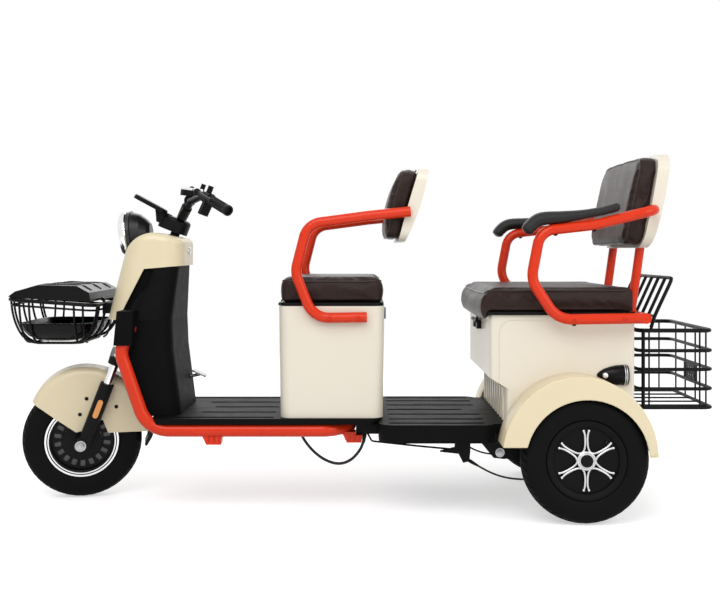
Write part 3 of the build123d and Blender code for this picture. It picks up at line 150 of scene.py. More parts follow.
class Net:
    """Builds the node graph of a material or of the world."""

    def __init__(self, owner: bpy.types.Material | bpy.types.World) -> None:
        """Starts an empty graph on its owner.

        Args:
            owner: the material or world that holds the graph.
        """
        owner.use_nodes = True
        self.tree = owner.node_tree
        self.tree.nodes.clear()

    def node(self, kind: str, settings: dict | None = None,
             inputs: dict | None = None) -> bpy.types.Node:
        """Adds a node.

        Args:
            kind: the node's type name.
            settings: its properties, set first.
            inputs: socket name or index to a wire or a constant.

        Returns:
            The node.
        """
        made = self.tree.nodes.new(kind)
        for key, value in (settings or {}).items():
            setattr(made, key, value)
        for key, value in (inputs or {}).items():
            if isinstance(value, Wire):
                self.tree.links.new(value.socket, made.inputs[key])
            else:
                made.inputs[key].default_value = value
        return made

    def out(self, kind: str, settings: dict | None = None, inputs: dict | None = None,
            name: str | int = 0) -> Wire:
        """Adds a node and wraps one of its outputs."""
        return Wire(self, self.node(kind, settings, inputs).outputs[name])

    def place(self) -> Wire:
        """Object coordinates, in metres."""
        return self.out("ShaderNodeTexCoord", name="Object")

    def rays(self, *kinds: str) -> list[Wire]:
        """Outputs of one Light Path node."""
        path = self.node("ShaderNodeLightPath")
        return [Wire(self, path.outputs[kind]) for kind in kinds]

    def noise(self, vector: Wire, scale: float, detail: float = 2.0, rough: float = 0.5) -> Wire:
        """Noise from 0 to 1; scale is in features per metre."""
        return self.out("ShaderNodeTexNoise", {"noise_dimensions": "3D"},
                        {"Vector": vector, "Scale": scale, "Detail": detail, "Roughness": rough})

    def cells(self, vector: Wire, scale: float, feature: str = "F1") -> Wire:
        """Distance in a Voronoi pattern.

        Args:
            vector: where the pattern is read.
            scale: cells per metre.
            feature: which distance is measured.

        Returns:
            The distance.
        """
        return self.out("ShaderNodeTexVoronoi", {"feature": feature},
                        {"Vector": vector, "Scale": scale},
                        "Distance")

    def stretch(self, vector: Wire, scale: Point) -> Wire:
        """Vector scaled by axis."""
        return self.out("ShaderNodeVectorMath", {"operation": "MULTIPLY"}, {0: vector, 1: scale})

    def blend(self, factor: Wire, low: Colour | Wire, high: Colour | Wire) -> Wire:
        """Mixes two colours.

        Args:
            factor: 0 for the low colour and 1 for the high one.
            low: first colour.
            high: second colour.

        Returns:
            The mixed colour.
        """
        pair = [value if isinstance(value, Wire) else (*value, 1.0) for value in (low, high)]
        return self.out("ShaderNodeMix", {"data_type": "RGBA"},
                        {0: factor, 6: pair[0], 7: pair[1]}, 2)

    def level(self, value: Wire, low: float, high: float, to_low: float, to_high: float) -> Wire:
        """Maps a range of values to another, clamped.

        Args:
            value: the value to map.
            low: start of its range.
            high: end of its range.
            to_low: what the start becomes.
            to_high: what the end becomes.

        Returns:
            The mapped value.
        """
        return self.out("ShaderNodeMapRange", {"clamp": True},
                        {"Value": value, "From Min": low, "From Max": high, "To Min": to_low,
                         "To Max": to_high})

    def bump(self, height: Wire, distance: float, strength: float) -> Wire:
        """Normal from a height."""
        return self.out("ShaderNodeBump", None,
                        {"Height": height, "Distance": distance, "Strength": strength})

    def surface(self, inputs: dict) -> None:
        """Ends the graph in a Principled shader."""
        shader = self.out("ShaderNodeBsdfPrincipled", None, inputs)
        self.node("ShaderNodeOutputMaterial", None, {"Surface": shader})


# Finishes

@dataclass(frozen=True)
class Finish:
    """One way to finish a surface; its tint wanders between two factors, dark and pale."""

    name: str
    tint: Tint
    dark: float = field(default=0.8, kw_only=True)
    pale: float = field(default=1.25, kw_only=True)

    def make(self) -> bpy.types.Material:
        """Builds the material.

        Returns:
            The material.
        """
        material = bpy.data.materials.new(self.name)
        self.shade(Net(material))
        return material

    def mottle(self, net: Net, cloud: Wire) -> Wire:
        """The tint, moved between its two factors by a noise."""
        return net.blend(cloud, shade_of(self.tint.value, self.dark),
                         shade_of(self.tint.value, self.pale))

    def shade(self, net: Net) -> None:
        """Adds the finish's nodes to a graph."""
        raise NotImplementedError


@dataclass(frozen=True)
class GlossPanel(Finish):
    """Painted moulding: clear coat over faintly mottled colour with orange peel."""

    rough: float = 0.34
    coat: float = 0.35
    shine: float = 0.35
    dark: float = field(default=0.96, kw_only=True)
    pale: float = field(default=1.03, kw_only=True)

    def shade(self, net: Net) -> None:
        """Adds the finish's nodes to a graph.

        Args:
            net: the graph to fill.
        """
        spot = net.place()
        flow = net.noise(spot, 4.0, 3.0)
        colour = self.mottle(net, flow)
        dust = net.noise(spot, 90.0, 4.0, 0.65)
        peel = net.noise(spot, 420.0, 2.0)
        net.surface({"Base Color": colour,
                     "Roughness": net.level(dust, 0.3, 0.8, self.rough, self.rough + 0.1),
                     "Specular IOR Level": self.shine,
                     "Coat Weight": self.coat, "Coat Roughness": 0.06,
                     "Normal": net.bump(peel, 0.0002, 0.35)})


@dataclass(frozen=True)
class TubePaint(Finish):
    """Sprayed gloss enamel on bent tube."""

    rough: float = 0.28
    dark: float = field(default=0.88, kw_only=True)
    pale: float = field(default=1.08, kw_only=True)

    def shade(self, net: Net) -> None:
        """Adds the finish's nodes to a graph.

        Args:
            net: the graph to fill.
        """
        spot = net.place()
        cloud = net.noise(spot, 9.0, 3.0)
        colour = self.mottle(net, cloud)
        peel = net.noise(spot, 300.0, 2.0)
        grit = net.noise(spot, 1500.0, 2.0)
        net.surface({"Base Color": colour,
                     "Roughness": net.level(cloud, 0.3, 0.7, self.rough - 0.04, self.rough + 0.05),
                     "Coat Weight": 0.25, "Coat Roughness": 0.05, "Specular IOR Level": 0.10,
                     "Normal": net.bump(peel + grit * 0.15, 0.0003, 0.45)})


@dataclass(frozen=True)
class GrainedPlastic(Finish):
    """Matte moulded plastic with a spark-eroded grain."""

    grain: float = 900.0
    depth: float = 0.00025
    rough: float = 0.48
    shine: float = 0.12

    def shade(self, net: Net) -> None:
        """Adds the finish's nodes to a graph.

        Args:
            net: the graph to fill.
        """
        spot = net.place()
        pebble = net.cells(spot, self.grain)
        cloud = net.noise(spot, 7.0, 3.0)
        scuff = net.noise(net.stretch(spot, (14.0, 60.0, 30.0)), 1.0, 4.0, 0.7)
        colour = self.mottle(net, cloud)
        net.surface({"Base Color": colour,
                     "Roughness": net.level(scuff, 0.35, 0.75, self.rough, self.rough + 0.14),
                     "Specular IOR Level": self.shine,
                     "Normal": net.bump(pebble, self.depth, 0.7)})


@dataclass(frozen=True)
class PowderCoat(Finish):
    """Baked powder coat on steel wire and brackets."""

    rough: float = 0.38
    shine: float = 0.2
    pale: float = field(default=1.3, kw_only=True)

    def shade(self, net: Net) -> None:
        """Adds the finish's nodes to a graph.

        Args:
            net: the graph to fill.
        """
        spot = net.place()
        ripple = net.noise(spot, 520.0, 3.0)
        cloud = net.noise(spot, 20.0, 2.0)
        net.surface({"Base Color": self.mottle(net, cloud),
                     "Roughness": net.level(cloud, 0.3, 0.7, self.rough - 0.05, self.rough + 0.08),
                     "Specular IOR Level": self.shine,
                     "Normal": net.bump(ripple, 0.0003, 0.6)})


@dataclass(frozen=True)
class BrightMetal(Finish):
    """Plated, cast or zinc-coated metal."""

    rough: float = 0.09
    grain: float = 0.0
    dark: float = field(default=0.9, kw_only=True)
    pale: float = field(default=1.0, kw_only=True)

    def shade(self, net: Net) -> None:
        """Adds the finish's nodes to a graph.

        Args:
            net: the graph to fill.
        """
        spot = net.place()
        smear = net.noise(net.stretch(spot, (18.0, 18.0, 70.0)), 1.0, 4.0, 0.65)
        colour = self.mottle(net, smear)
        pit = net.noise(spot, 800.0, 2.0)
        net.surface({"Base Color": colour, "Metallic": 1.0,
                     "Roughness": net.level(smear, 0.3, 0.75, self.rough, self.rough + 0.12),
                     "Normal": net.bump(pit, 0.0001 + self.grain, 0.4)})


@dataclass(frozen=True)
class TyreRubber(Finish):
    """Moulded rubber, paler with dust in its fine texture."""

    rough: float = 0.62
    shine: float = 0.08
    dark: float = field(default=0.75, kw_only=True)
    pale: float = field(default=1.5, kw_only=True)

    def shade(self, net: Net) -> None:
        """Adds the finish's nodes to a graph.

        Args:
            net: the graph to fill.
        """
        spot = net.place()
        bloom = net.noise(spot, 14.0, 4.0, 0.6)
        fine = net.noise(spot, 700.0, 3.0, 0.6)
        colour = self.mottle(net, bloom)
        net.surface({"Base Color": colour,
                     "Roughness": net.level(bloom, 0.3, 0.7, self.rough - 0.06, self.rough + 0.1),
                     "Specular IOR Level": self.shine, "Normal": net.bump(fine, 0.0004, 0.6)})


@dataclass(frozen=True)
class Vinyl(Finish):
    """Grained upholstery vinyl with a soft gloss."""

    grain: float = 620.0
    rough: float = 0.38
    shine: float = 0.16
    dark: float = field(default=0.85, kw_only=True)
    pale: float = field(default=1.15, kw_only=True)

    def shade(self, net: Net) -> None:
        """Adds the finish's nodes to a graph.

        Args:
            net: the graph to fill.
        """
        spot = net.place()
        warp = net.noise(spot, 300.0, 2.0)
        crease = net.cells(spot, self.grain, "DISTANCE_TO_EDGE")
        cloud = net.noise(spot, 12.0, 3.0)
        colour = self.mottle(net, cloud)
        valley = net.level(crease, 0.0, 0.25, 0.0, 1.0)
        net.surface({"Base Color": colour,
                     "Roughness": net.level(cloud, 0.3, 0.7, self.rough - 0.04, self.rough + 0.06),
                     "Specular IOR Level": self.shine,
                     "Normal": net.bump(valley + warp * 0.5, 0.0003, 0.5)})


@dataclass(frozen=True)
class Lens(Finish):
    """Moulded lens: flutes over a bright or coloured reflector."""

    flutes: float = 900.0
    metal: float = 0.0
    rough: float = 0.12
    dark: float = field(default=0.7, kw_only=True)
    pale: float = field(default=1.0, kw_only=True)

    def shade(self, net: Net) -> None:
        """Adds the finish's nodes to a graph.

        Args:
            net: the graph to fill.
        """
        spot = net.place()
        prism = net.cells(spot, self.flutes)
        colour = self.mottle(net, net.level(prism, 0.1, 0.6, 0.0, 1.0))
        net.surface({"Base Color": colour, "Metallic": self.metal, "Roughness": self.rough,
                     "Coat Weight": 1.0, "Coat Roughness": 0.02,
                     "Normal": net.bump(prism, 0.0008, 0.6)})


class Coat(Enum):
    """Every finish of the tricycle."""

    IVORY = GlossPanel("ivory_gloss", Tint.IVORY)
    CREAM = GlossPanel("cream_gloss", Tint.CREAM)
    RED = TubePaint("red_enamel", Tint.RED)
    SHIELD = GrainedPlastic("shield_black", Tint.BLACK, 700.0, 0.0002, 0.46, 0.03)
    DECK = GrainedPlastic("deck_black", Tint.JET, 500.0, 0.0004, 0.44, 0.06)
    PLASTIC = GrainedPlastic("plain_black", Tint.JET, 1100.0, 0.00015, 0.34, 0.12)
    GLOSS_BLACK = GlossPanel("gloss_black", Tint.JET, 0.22, 0.0, 0.14)
    BUCKET = GlossPanel("bucket_black", Tint.SOOT, 0.26, 0.0, 0.40)
    WIRE = PowderCoat("wire_black", Tint.JET, 0.34, 0.12)
    STEEL = PowderCoat("steel_black", Tint.BLACK, 0.42, 0.10)
    DISC = GrainedPlastic("disc_black", Tint.BLACK, 1300.0, 0.0001, 0.46, 0.08)
    CHROME = BrightMetal("chrome", Tint.CHROME)
    STAR = BrightMetal("star_silver", Tint.SILVER, 0.26, 0.0001)
    ZINC = BrightMetal("zinc", Tint.ZINC, 0.30, 0.0001)
    GRAPHITE = BrightMetal("graphite", Tint.GRAPHITE, 0.45, 0.0002)
    TYRE = TyreRubber("tyre_rubber", Tint.JET)
    GRIP = TyreRubber("grip_rubber", Tint.BLACK, 0.50, 0.2)
    CABLE = TyreRubber("cable_sheath", Tint.JET, 0.40, 0.3)
    SEAT = Vinyl("seat_vinyl", Tint.CHOCOLATE)
    PIPING = Vinyl("piping_vinyl", Tint.CHOCOLATE, 900.0, 0.30, 0.30)
    ARM_PAD = Vinyl("arm_pad_skin", Tint.BLACK, 1200.0, 0.34, 0.30)
    AMBER = Lens("amber_lens", Tint.AMBER)
    HEADLAMP = Lens("headlamp_lens", Tint.GLASS, 160.0, 0.9)
    CLEAR = Lens("clear_lens", Tint.GLASS, 300.0, 0.6)


# Mesh forms

def linked(name: str, data: bpy.types.ID) -> bpy.types.Object:
    """New object in the scene.

    Args:
        name: name of the object.
        data: its mesh, curve, light or camera.

    Returns:
        The object.
    """
    thing = bpy.data.objects.new(name, data)
    bpy.context.scene.collection.objects.link(thing)
    return thing


def lifted(loop: Sequence[Pair], height: float | Callable[[float], float]) -> list[Vector]:
    """Plan points at a height, or at a height that depends on x."""
    return [Vector((x, y, height(x) if callable(height) else height)) for x, y in loop]


def smooth(mesh: bpy.types.Mesh, angle: float = 35.0) -> bpy.types.Mesh:
    """Shades a mesh smooth, keeping its sharp edges.

    Args:
        mesh: the mesh to shade.
        angle: edges that bend by more than this many degrees stay sharp.

    Returns:
        The same mesh.
    """
    work = bmesh.new()
    work.from_mesh(mesh)
    for face in work.faces:
        face.smooth = True
    for edge in work.edges:
        edge.smooth = len(edge.link_faces) == 2 and edge.calc_face_angle(0.0) < math.radians(angle)
    work.to_mesh(mesh)
    work.free()
    return mesh


def mesh_from(name: str, points: Sequence[Vector], faces: Sequence[Sequence[int]],
              place: Matrix | None = None, angle: float = 35.0) -> bpy.types.Mesh:
    """Mesh from points and faces, its faces turned outward.

    Args:
        name: name of the mesh.
        points: its points.
        faces: the point numbers of each face.
        place: matrix that moves the form.
        angle: edges that bend by more than this many degrees stay sharp.

    Returns:
        The mesh.
    """
    mesh = bpy.data.meshes.new(name)
    mesh.from_pydata([place @ Vector(p) if place else Vector(p) for p in points], [], faces)
    work = bmesh.new()
    work.from_mesh(mesh)
    bmesh.ops.recalc_face_normals(work, faces=work.faces)
    work.to_mesh(mesh)
    work.free()
    return smooth(mesh, angle)


def lathe(name: str, profile: Sequence[Pair], steps: int,
          place: Matrix | None = None, angle: float = 35.0) -> bpy.types.Mesh:
    """Turns (along, radius) points about the local Z axis; radius 0 closes an end.

    Args:
        name: name of the mesh.
        profile: (along, radius) points; a radius of 0 closes an end.
        steps: number of sides.
        place: matrix that moves the form.
        angle: edges that bend by more than this many degrees stay sharp.

    Returns:
        The mesh.
    """
    points: list[Vector] = []
    rings: list[list[int]] = []
    for along, radius in profile:
        if radius < POLE:
            rings.append([len(points)] * steps)
            points.append(Vector((0.0, 0.0, along)))
            continue
        rings.append(list(range(len(points), len(points) + steps)))
        for index in range(steps):
            turn = math.tau * index / steps
            points.append(Vector((radius * math.cos(turn), radius * math.sin(turn), along)))
    faces = []
    closed = profile[0][1] > POLE and profile[-1][1] > POLE
    pairs = list(zip(rings, rings[1:])) + ([(rings[-1], rings[0])] if closed else [])
    for low, high in pairs:
        for index in range(steps):
            after = (index + 1) % steps
            loop = [low[index], low[after], high[after], high[index]]
            unique = list(dict.fromkeys(loop))
            if len(unique) > 2:
                faces.append(unique)
    return mesh_from(name, points, faces, place, angle)


def axis_matrix(origin: Vector | Point, along: Vector | Point) -> Matrix:
    """Frame whose local Z runs along a direction from an origin."""
    turn = Vector(along).normalized().to_track_quat("Z", "Y").to_matrix().to_4x4()
    return Matrix.Translation(Vector(origin)) @ turn


def arc_points(start: Sequence[float], middle: Sequence[float], end: Sequence[float],
               count: int) -> list[Pair]:
    """Points along the circle through three plane points, ends included.

    Args:
        start: first point.
        middle: a point between them.
        end: last point.
        count: number of points.

    Returns:
        The points.
    """
    (ax, ay), (bx, by), (cx, cy) = start, middle, end
    twice = 2 * (ax * (by - cy) + bx * (cy - ay) + cx * (ay - by))
    aa, bb, cc = ax**2 + ay**2, bx**2 + by**2, cx**2 + cy**2
    ux = (aa * (by - cy) + bb * (cy - ay) + cc * (ay - by)) / twice
    uy = (aa * (cx - bx) + bb * (ax - cx) + cc * (bx - ax)) / twice
    radius = math.hypot(ax - ux, ay - uy)
    first = math.atan2(ay - uy, ax - ux)
    sweep = [(math.atan2(y - uy, x - ux) - first) for x, y in ((bx, by), (cx, cy))]
    if sweep[1] > 0 and not 0 < sweep[0] < sweep[1]:
        sweep[1] -= math.tau
    elif sweep[1] < 0 and not sweep[1] < sweep[0] < 0:
        sweep[1] += math.tau
    return [(ux + radius * math.cos(first + sweep[1] * i / (count - 1)),
             uy + radius * math.sin(first + sweep[1] * i / (count - 1))) for i in range(count)]


def joined(name: str, meshes: Sequence[bpy.types.Mesh]) -> bpy.types.Mesh:
    """One mesh from several.

    Args:
        name: name of the mesh.
        meshes: its parts, which are removed.

    Returns:
        The mesh.
    """
    work = bmesh.new()
    for mesh in meshes:
        work.from_mesh(mesh)
        bpy.data.meshes.remove(mesh)
    whole = bpy.data.meshes.new(name)
    work.to_mesh(whole)
    work.free()
    return whole


def pipe(name: str, points: Sequence[Vector], radius: float, steps: int = 10,
         closed: bool = False) -> bpy.types.Mesh:
    """Round bar through dense points.

    Args:
        name: name of the mesh.
        points: the middle line.
        radius: radius of the bar.
        steps: number of sides.
        closed: whether the last point joins the first.

    Returns:
        The mesh.
    """
    count = len(points)
    rows, faces = [], []
    across = Vector()
    for index, point in enumerate(points):
        before = points[index - 1] if index or closed else point
        after = points[(index + 1) % count] if index < count - 1 or closed else point
        along = (after - before).normalized()
        if index:
            across = (across - along * across.dot(along)).normalized()
        else:
            across = along.orthogonal().normalized()
        side = along.cross(across)
        for step in range(steps):
            turn = math.tau * step / steps
            rows.append(point + (across * math.cos(turn) + side * math.sin(turn)) * radius)
    for index in range(count if closed else count - 1):
        low, high = index * steps, (index + 1) % count * steps
        for step in range(steps):
            after = (step + 1) % steps
            faces.append((low + step, low + after, high + after, high + step))
    if not closed:
        faces += [tuple(range(steps)), tuple(range(len(rows) - steps, len(rows)))]
    return mesh_from(name, rows, faces, angle=60.0)


def rounded_corners(low: Pair, high: Pair, corner: float) -> list[Pair]:
    """Thirty-six points on a rectangle with rounded corners.

    Args:
        low: corner with the low coordinates.
        high: corner with the high ones.
        corner: radius of the corners.

    Returns:
        The points in order.
    """
    (x0, y0), (x1, y1) = (low[0] + corner, low[1] + corner), (high[0] - corner, high[1] - corner)
    centres = ((x1, y1), (x0, y1), (x0, y0), (x1, y0))
    return [(cx + corner * math.cos(math.pi / 2 * (quarter + index / 8)),
             cy + corner * math.sin(math.pi / 2 * (quarter + index / 8)))
            for quarter, (cx, cy) in enumerate(centres) for index in range(9)]


def rounded_loop(low: Pair, high: Pair, corner: float,
                 step: float = 0.006) -> list[Pair]:
    """Evenly spaced points round a rectangle with rounded corners.

    Args:
        low: corner with the low coordinates.
        high: corner with the high ones.
        corner: radius of the corners.
        step: spacing of the points.

    Returns:
        The points in order.
    """
    points = rounded_corners(low, high, corner)
    dense = []
    for here, after in zip(points, points[1:] + points[:1]):
        count = max(1, round(math.dist(here, after) / step))
        for index in range(count):
            share = index / count
            dense.append((here[0] + (after[0] - here[0]) * share,
                          here[1] + (after[1] - here[1]) * share))
    return dense


def flowing(points: Sequence[Point], step: float = 0.006) -> list[Vector]:
    """Dense points on a smooth line through the given ones.

    Args:
        points: points on the line.
        step: spacing of the dense points.

    Returns:
        The dense points.
    """
    spots = [Vector(point) for point in points]
    ends = [spots[0] * 2 - spots[1], *spots, spots[-1] * 2 - spots[-2]]
    dense = []
    for before, here, after, beyond in zip(ends, ends[1:], ends[2:], ends[3:]):
        count = max(2, round((after - here).length / step))
        for index in range(count):
            t = index / count
            square = before * 2 - here * 5 + after * 4 - beyond
            cube = here * 3 - before - after * 3 + beyond
            dense.append((here * 2 + (after - before) * t + square * t**2 + cube * t**3) / 2)
    return dense + [spots[-1]]


def loft(name: str, loops: Sequence[Sequence[Vector]], angle: float = 40.0) -> bpy.types.Mesh:
    """Skin over closed loops of equal count, its first and last loop filled.

    Args:
        name: name of the mesh.
        loops: the loops in order.
        angle: edges that bend by more than this many degrees stay sharp.

    Returns:
        The mesh.
    """
    size = len(loops[0])
    rows = [point for loop in loops for point in loop]
    faces = [tuple(range(size)), tuple(range(len(rows) - size, len(rows)))]
    for index in range(len(loops) - 1):
        low, high = index * size, (index + 1) * size
        for step in range(size):
            after = (step + 1) % size
            faces.append((low + step, low + after, high + after, high + step))
    return mesh_from(name, rows, faces, angle=angle)


def screw_mesh(name: str, place: Matrix, radius: float, height: float) -> bpy.types.Mesh:
    """Button-head screw with a socket, its head along local Z.

    Args:
        name: name of the mesh.
        place: frame of the seat, local Z outward.
        radius: radius of the head.
        height: height of the head.

    Returns:
        The mesh.
    """
    head = [(0.0, radius), (height * 0.45, radius * 0.97), (height * 0.85, radius * 0.72),
            (height, radius * 0.45), (height * 0.98, radius * 0.40),
            (height * 0.45, radius * 0.38), (height * 0.45, 0.0)]
    return lathe(name, [(-height * 0.6, 0.0), (-height * 0.6, radius), *head], 18, place)


def hex_nut_mesh(name: str, place: Matrix, radius: float, height: float) -> bpy.types.Mesh:
    """Hexagon nut with a stud end and a washer, along local Z.

    Args:
        name: name of the mesh.
        place: frame of the seat, local Z outward.
        radius: radius over the corners.
        height: height of the nut.

    Returns:
        The mesh.
    """
    nut = lathe(name + "_nut", [(0.0, 0.0), (0.0, radius), (height * 0.85, radius),
                                (height, radius * 0.88), (height, 0.0)],
                6, place, 20.0)
    washer = lathe(name + "_washer", [(-0.001, 0.0), (-0.001, radius * 1.35),
                                      (0.0006, radius * 1.33), (0.0006, 0.0)],
                   24, place)
    stud = lathe(name + "_stud", [(0.0, 0.0), (0.0, radius * 0.5), (height * 1.5, radius * 0.5),
                                  (height * 1.6, radius * 0.4), (height * 1.6, 0.0)], 16, place)
    return joined(name, [nut, washer, stud])


@dataclass
class Workshop:
    """The CAD frame, the finishes made so far and the means to add pieces."""

    frame: dict
    mixed: dict[Coat, bpy.types.Material] = field(default_factory=dict)
    trees: dict[str, BVHTree] = field(default_factory=dict)

    def coat(self, coat: Coat) -> bpy.types.Material:
        """The material of a finish, made on first use.

        Args:
            coat: the finish.

        Returns:
            Its material.
        """
        if coat not in self.mixed:
            self.mixed[coat] = coat.value.make()
        return self.mixed[coat]

    def dress(self, coat: Coat, *nodes: str, round_edge: float = 0.0) -> None:
        """Gives CAD nodes a finish.

        Args:
            coat: the finish.
            nodes: the CAD nodes.
            round_edge: width in metres by which their sharp edges are broken.
        """
        for name in nodes:
            node = self.frame["nodes"][name]
            if not node.material_slots:
                node.data.materials.append(None)
            for slot in node.material_slots:
                slot.material = self.coat(coat)
            if round_edge:
                weld = node.modifiers.new("weld", "WELD")
                weld.merge_threshold = 1e-5
                edge = node.modifiers.new("edge", "BEVEL")
                edge.width = round_edge
                edge.segments = 2
                edge.angle_limit = math.radians(50)
            LOG.info("%s wears %s", name, coat.value.name)

    def add(self, name: str, form: bpy.types.Mesh | bpy.types.Curve, coat: Coat, body: str,
            slot: str) -> bpy.types.Object:
        """Adds a piece that rides on a body.

        Args:
            name: name of the piece.
            form: its mesh or curve.
            coat: its finish.
            body: the body it rides on.
            slot: not used.

        Returns:
            The piece.
        """
        piece = linked(name, form)
        form.materials.clear()
        form.materials.append(self.coat(coat))
        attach(piece, body)
        LOG.info("%s rides on %s", name, body)
        return piece

    def turn(self, name: str, profile: Sequence[Pair], steps: int, place: Matrix, coat: Coat,
             body: str, slot: str, angle: float = 35.0) -> bpy.types.Object:
        """Adds a turned piece."""
        return self.add(name, lathe(name, profile, steps, place, angle), coat, body, slot)

    def gather(self, name: str, meshes: Sequence[bpy.types.Mesh], coat: Coat, body: str,
               slot: str) -> bpy.types.Object:
        """Adds one piece made of several meshes."""
        return self.add(name, joined(name, meshes), coat, body, slot)

    def tree(self, node: str) -> BVHTree:
        """Search tree of a CAD node's surface.

        Args:
            node: the CAD node.

        Returns:
            The tree.
        """
        if node not in self.trees:
            mesh = self.frame["nodes"][node].data
            self.trees[node] = BVHTree.FromPolygons([v.co for v in mesh.vertices],
                                                    [p.vertices for p in mesh.polygons])
        return self.trees[node]

    def seat(self, node: str, start: Point, way: Point) -> Matrix | None:
        """Frame on a node's surface where a ray meets it, local Z along the outward normal.

        Args:
            node: the CAD node.
            start: where the ray starts.
            way: where it goes.

        Returns:
            The frame, or None where the ray misses.
        """
        spot, normal, _, _ = self.tree(node).ray_cast(Vector(start), Vector(way).normalized())
        if spot is None:
            LOG.warning("no surface of %s from %s", node, start)
            return None
        if normal.dot(Vector(way)) > 0:
            normal = -normal
        return axis_matrix(spot, normal)


@dataclass
class SubAssembly:
    """A group of pieces that are dressed together."""

    shop: Workshop

    def build(self) -> None:
        """Builds and dresses the pieces."""
        raise NotImplementedError

    def screws(self, name: str, node: str, spots: Sequence[tuple[Point, Point]], coat: Coat,
               body: str, slot: str, radius: float) -> None:
        """Screws seated on a node where rays meet it.

        Args:
            name: name of the piece.
            node: the CAD node.
            spots: start and direction of each ray.
            coat: the finish.
            body: the body they ride on.
            slot: the material slot.
            radius: radius of a head.
        """
        seats = [self.shop.seat(node, start, way) for start, way in spots]
        meshes = [screw_mesh(name, seat, radius, radius * 0.6) for seat in seats if seat]
        if meshes:
            self.shop.gather(name, meshes, coat, body, slot)


# Cables

@dataclass
class Cables(SubAssembly):
    """Three cables under the floor, each hanging between two glands."""

    floor_route: tuple[Point, ...] = (
        (-0.190, -0.128, 0.256), (-0.187, -0.128, 0.230), (-0.170, -0.128, 0.200),
        (-0.144, -0.128, 0.169),
        (-0.108, -0.128, 0.142), (-0.066, -0.128, 0.129), (-0.030, -0.128, 0.139),
        (-0.004, -0.128, 0.164),
        (0.013, -0.128, 0.193), (0.017, -0.128, 0.220))
    floor_diameter: float = 0.009
    floor_length: float = 0.3214
    brake_route: tuple[Point, ...] = (
        (0.354, -0.159, 0.143), (0.376, -0.160, 0.130), (0.410, -0.166, 0.112),
        (0.452, -0.178, 0.099),
        (0.500, -0.196, 0.0965), (0.548, -0.216, 0.103), (0.590, -0.236, 0.119),
        (0.618, -0.248, 0.140),
        (0.636, -0.252, 0.158))
    brake_diameter: float = 0.006
    brake_length: float = 0.325
    boot_length: float = 0.022
    boot_wall: float = 0.0028
    boot_groove: float = 0.0006
    boot_ribs: int = 4

    def build(self) -> None:
        """Builds and dresses the pieces."""
        self.hang("underfloor_cable", self.floor_route, self.floor_diameter, self.floor_length)
        mirrored = tuple((x, -y, z) for x, y, z in self.brake_route)
        for node, route in (("brake_cable_left", self.brake_route),
                            ("brake_cable_right", mirrored)):
            self.hang(node, route, self.brake_diameter, self.brake_length)

    def hang(self, node: str, route: Sequence[Point], diameter: float, length: float) -> None:
        """Lays one cable along its route, with a tapered boot at each gland.

        Args:
            node: the cable's CAD node.
            route: its route points.
            diameter: its thickness.
            length: not used.
        """
        curve = bpy.data.curves.new(node + "_line", "CURVE")
        curve.dimensions = "3D"
        curve.bevel_depth = diameter / 2
        curve.bevel_resolution = 4
        curve.use_fill_caps = True
        spline = curve.splines.new("NURBS")
        spline.points.add(len(route) - 1)
        for point, spot in zip(spline.points, route):
            point.co = (*spot, 1.0)
        spline.order_u = 3
        spline.use_endpoint_u = True
        spline.resolution_u = 10
        cable = self.shop.add(node + "_line", curve, Coat.CABLE, "frame", "black_plastic")
        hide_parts(node)
        ends = ((route[0], route[1]), (route[-1], route[-2]))
        meshes = [self.boot(node, axis_matrix(root, Vector(after) - Vector(root)), diameter / 2)
                  for root, after in ends]
        self.shop.gather(node + "_boots", meshes, Coat.GRIP, "frame", "black_plastic")

    def boot(self, name: str, place: Matrix, bore: float) -> bpy.types.Mesh:
        """Ribbed strain relief that tapers onto the cable.

        Args:
            name: start of the mesh's name.
            place: frame of the gland, local Z along the cable.
            bore: radius of the cable.

        Returns:
            The boot's mesh.
        """
        length, foot, groove = self.boot_length, bore + self.boot_wall, self.boot_groove
        profile = [(0.0, 0.0), (0.0, foot)]
        for rib in range(self.boot_ribs):
            at = length * (0.12 + 0.2 * rib)
            wide = foot - (foot - bore - groove) * at / length
            profile += [(at, wide), (at + 0.0006, wide - groove),
                        (at + 0.0018, wide - groove - 0.0001), (at + 0.0024, wide)]
        profile += [(length, bore + 0.0005), (length, 0.0)]
        return lathe(name + "_boot", profile, 20, place)


# Wheels

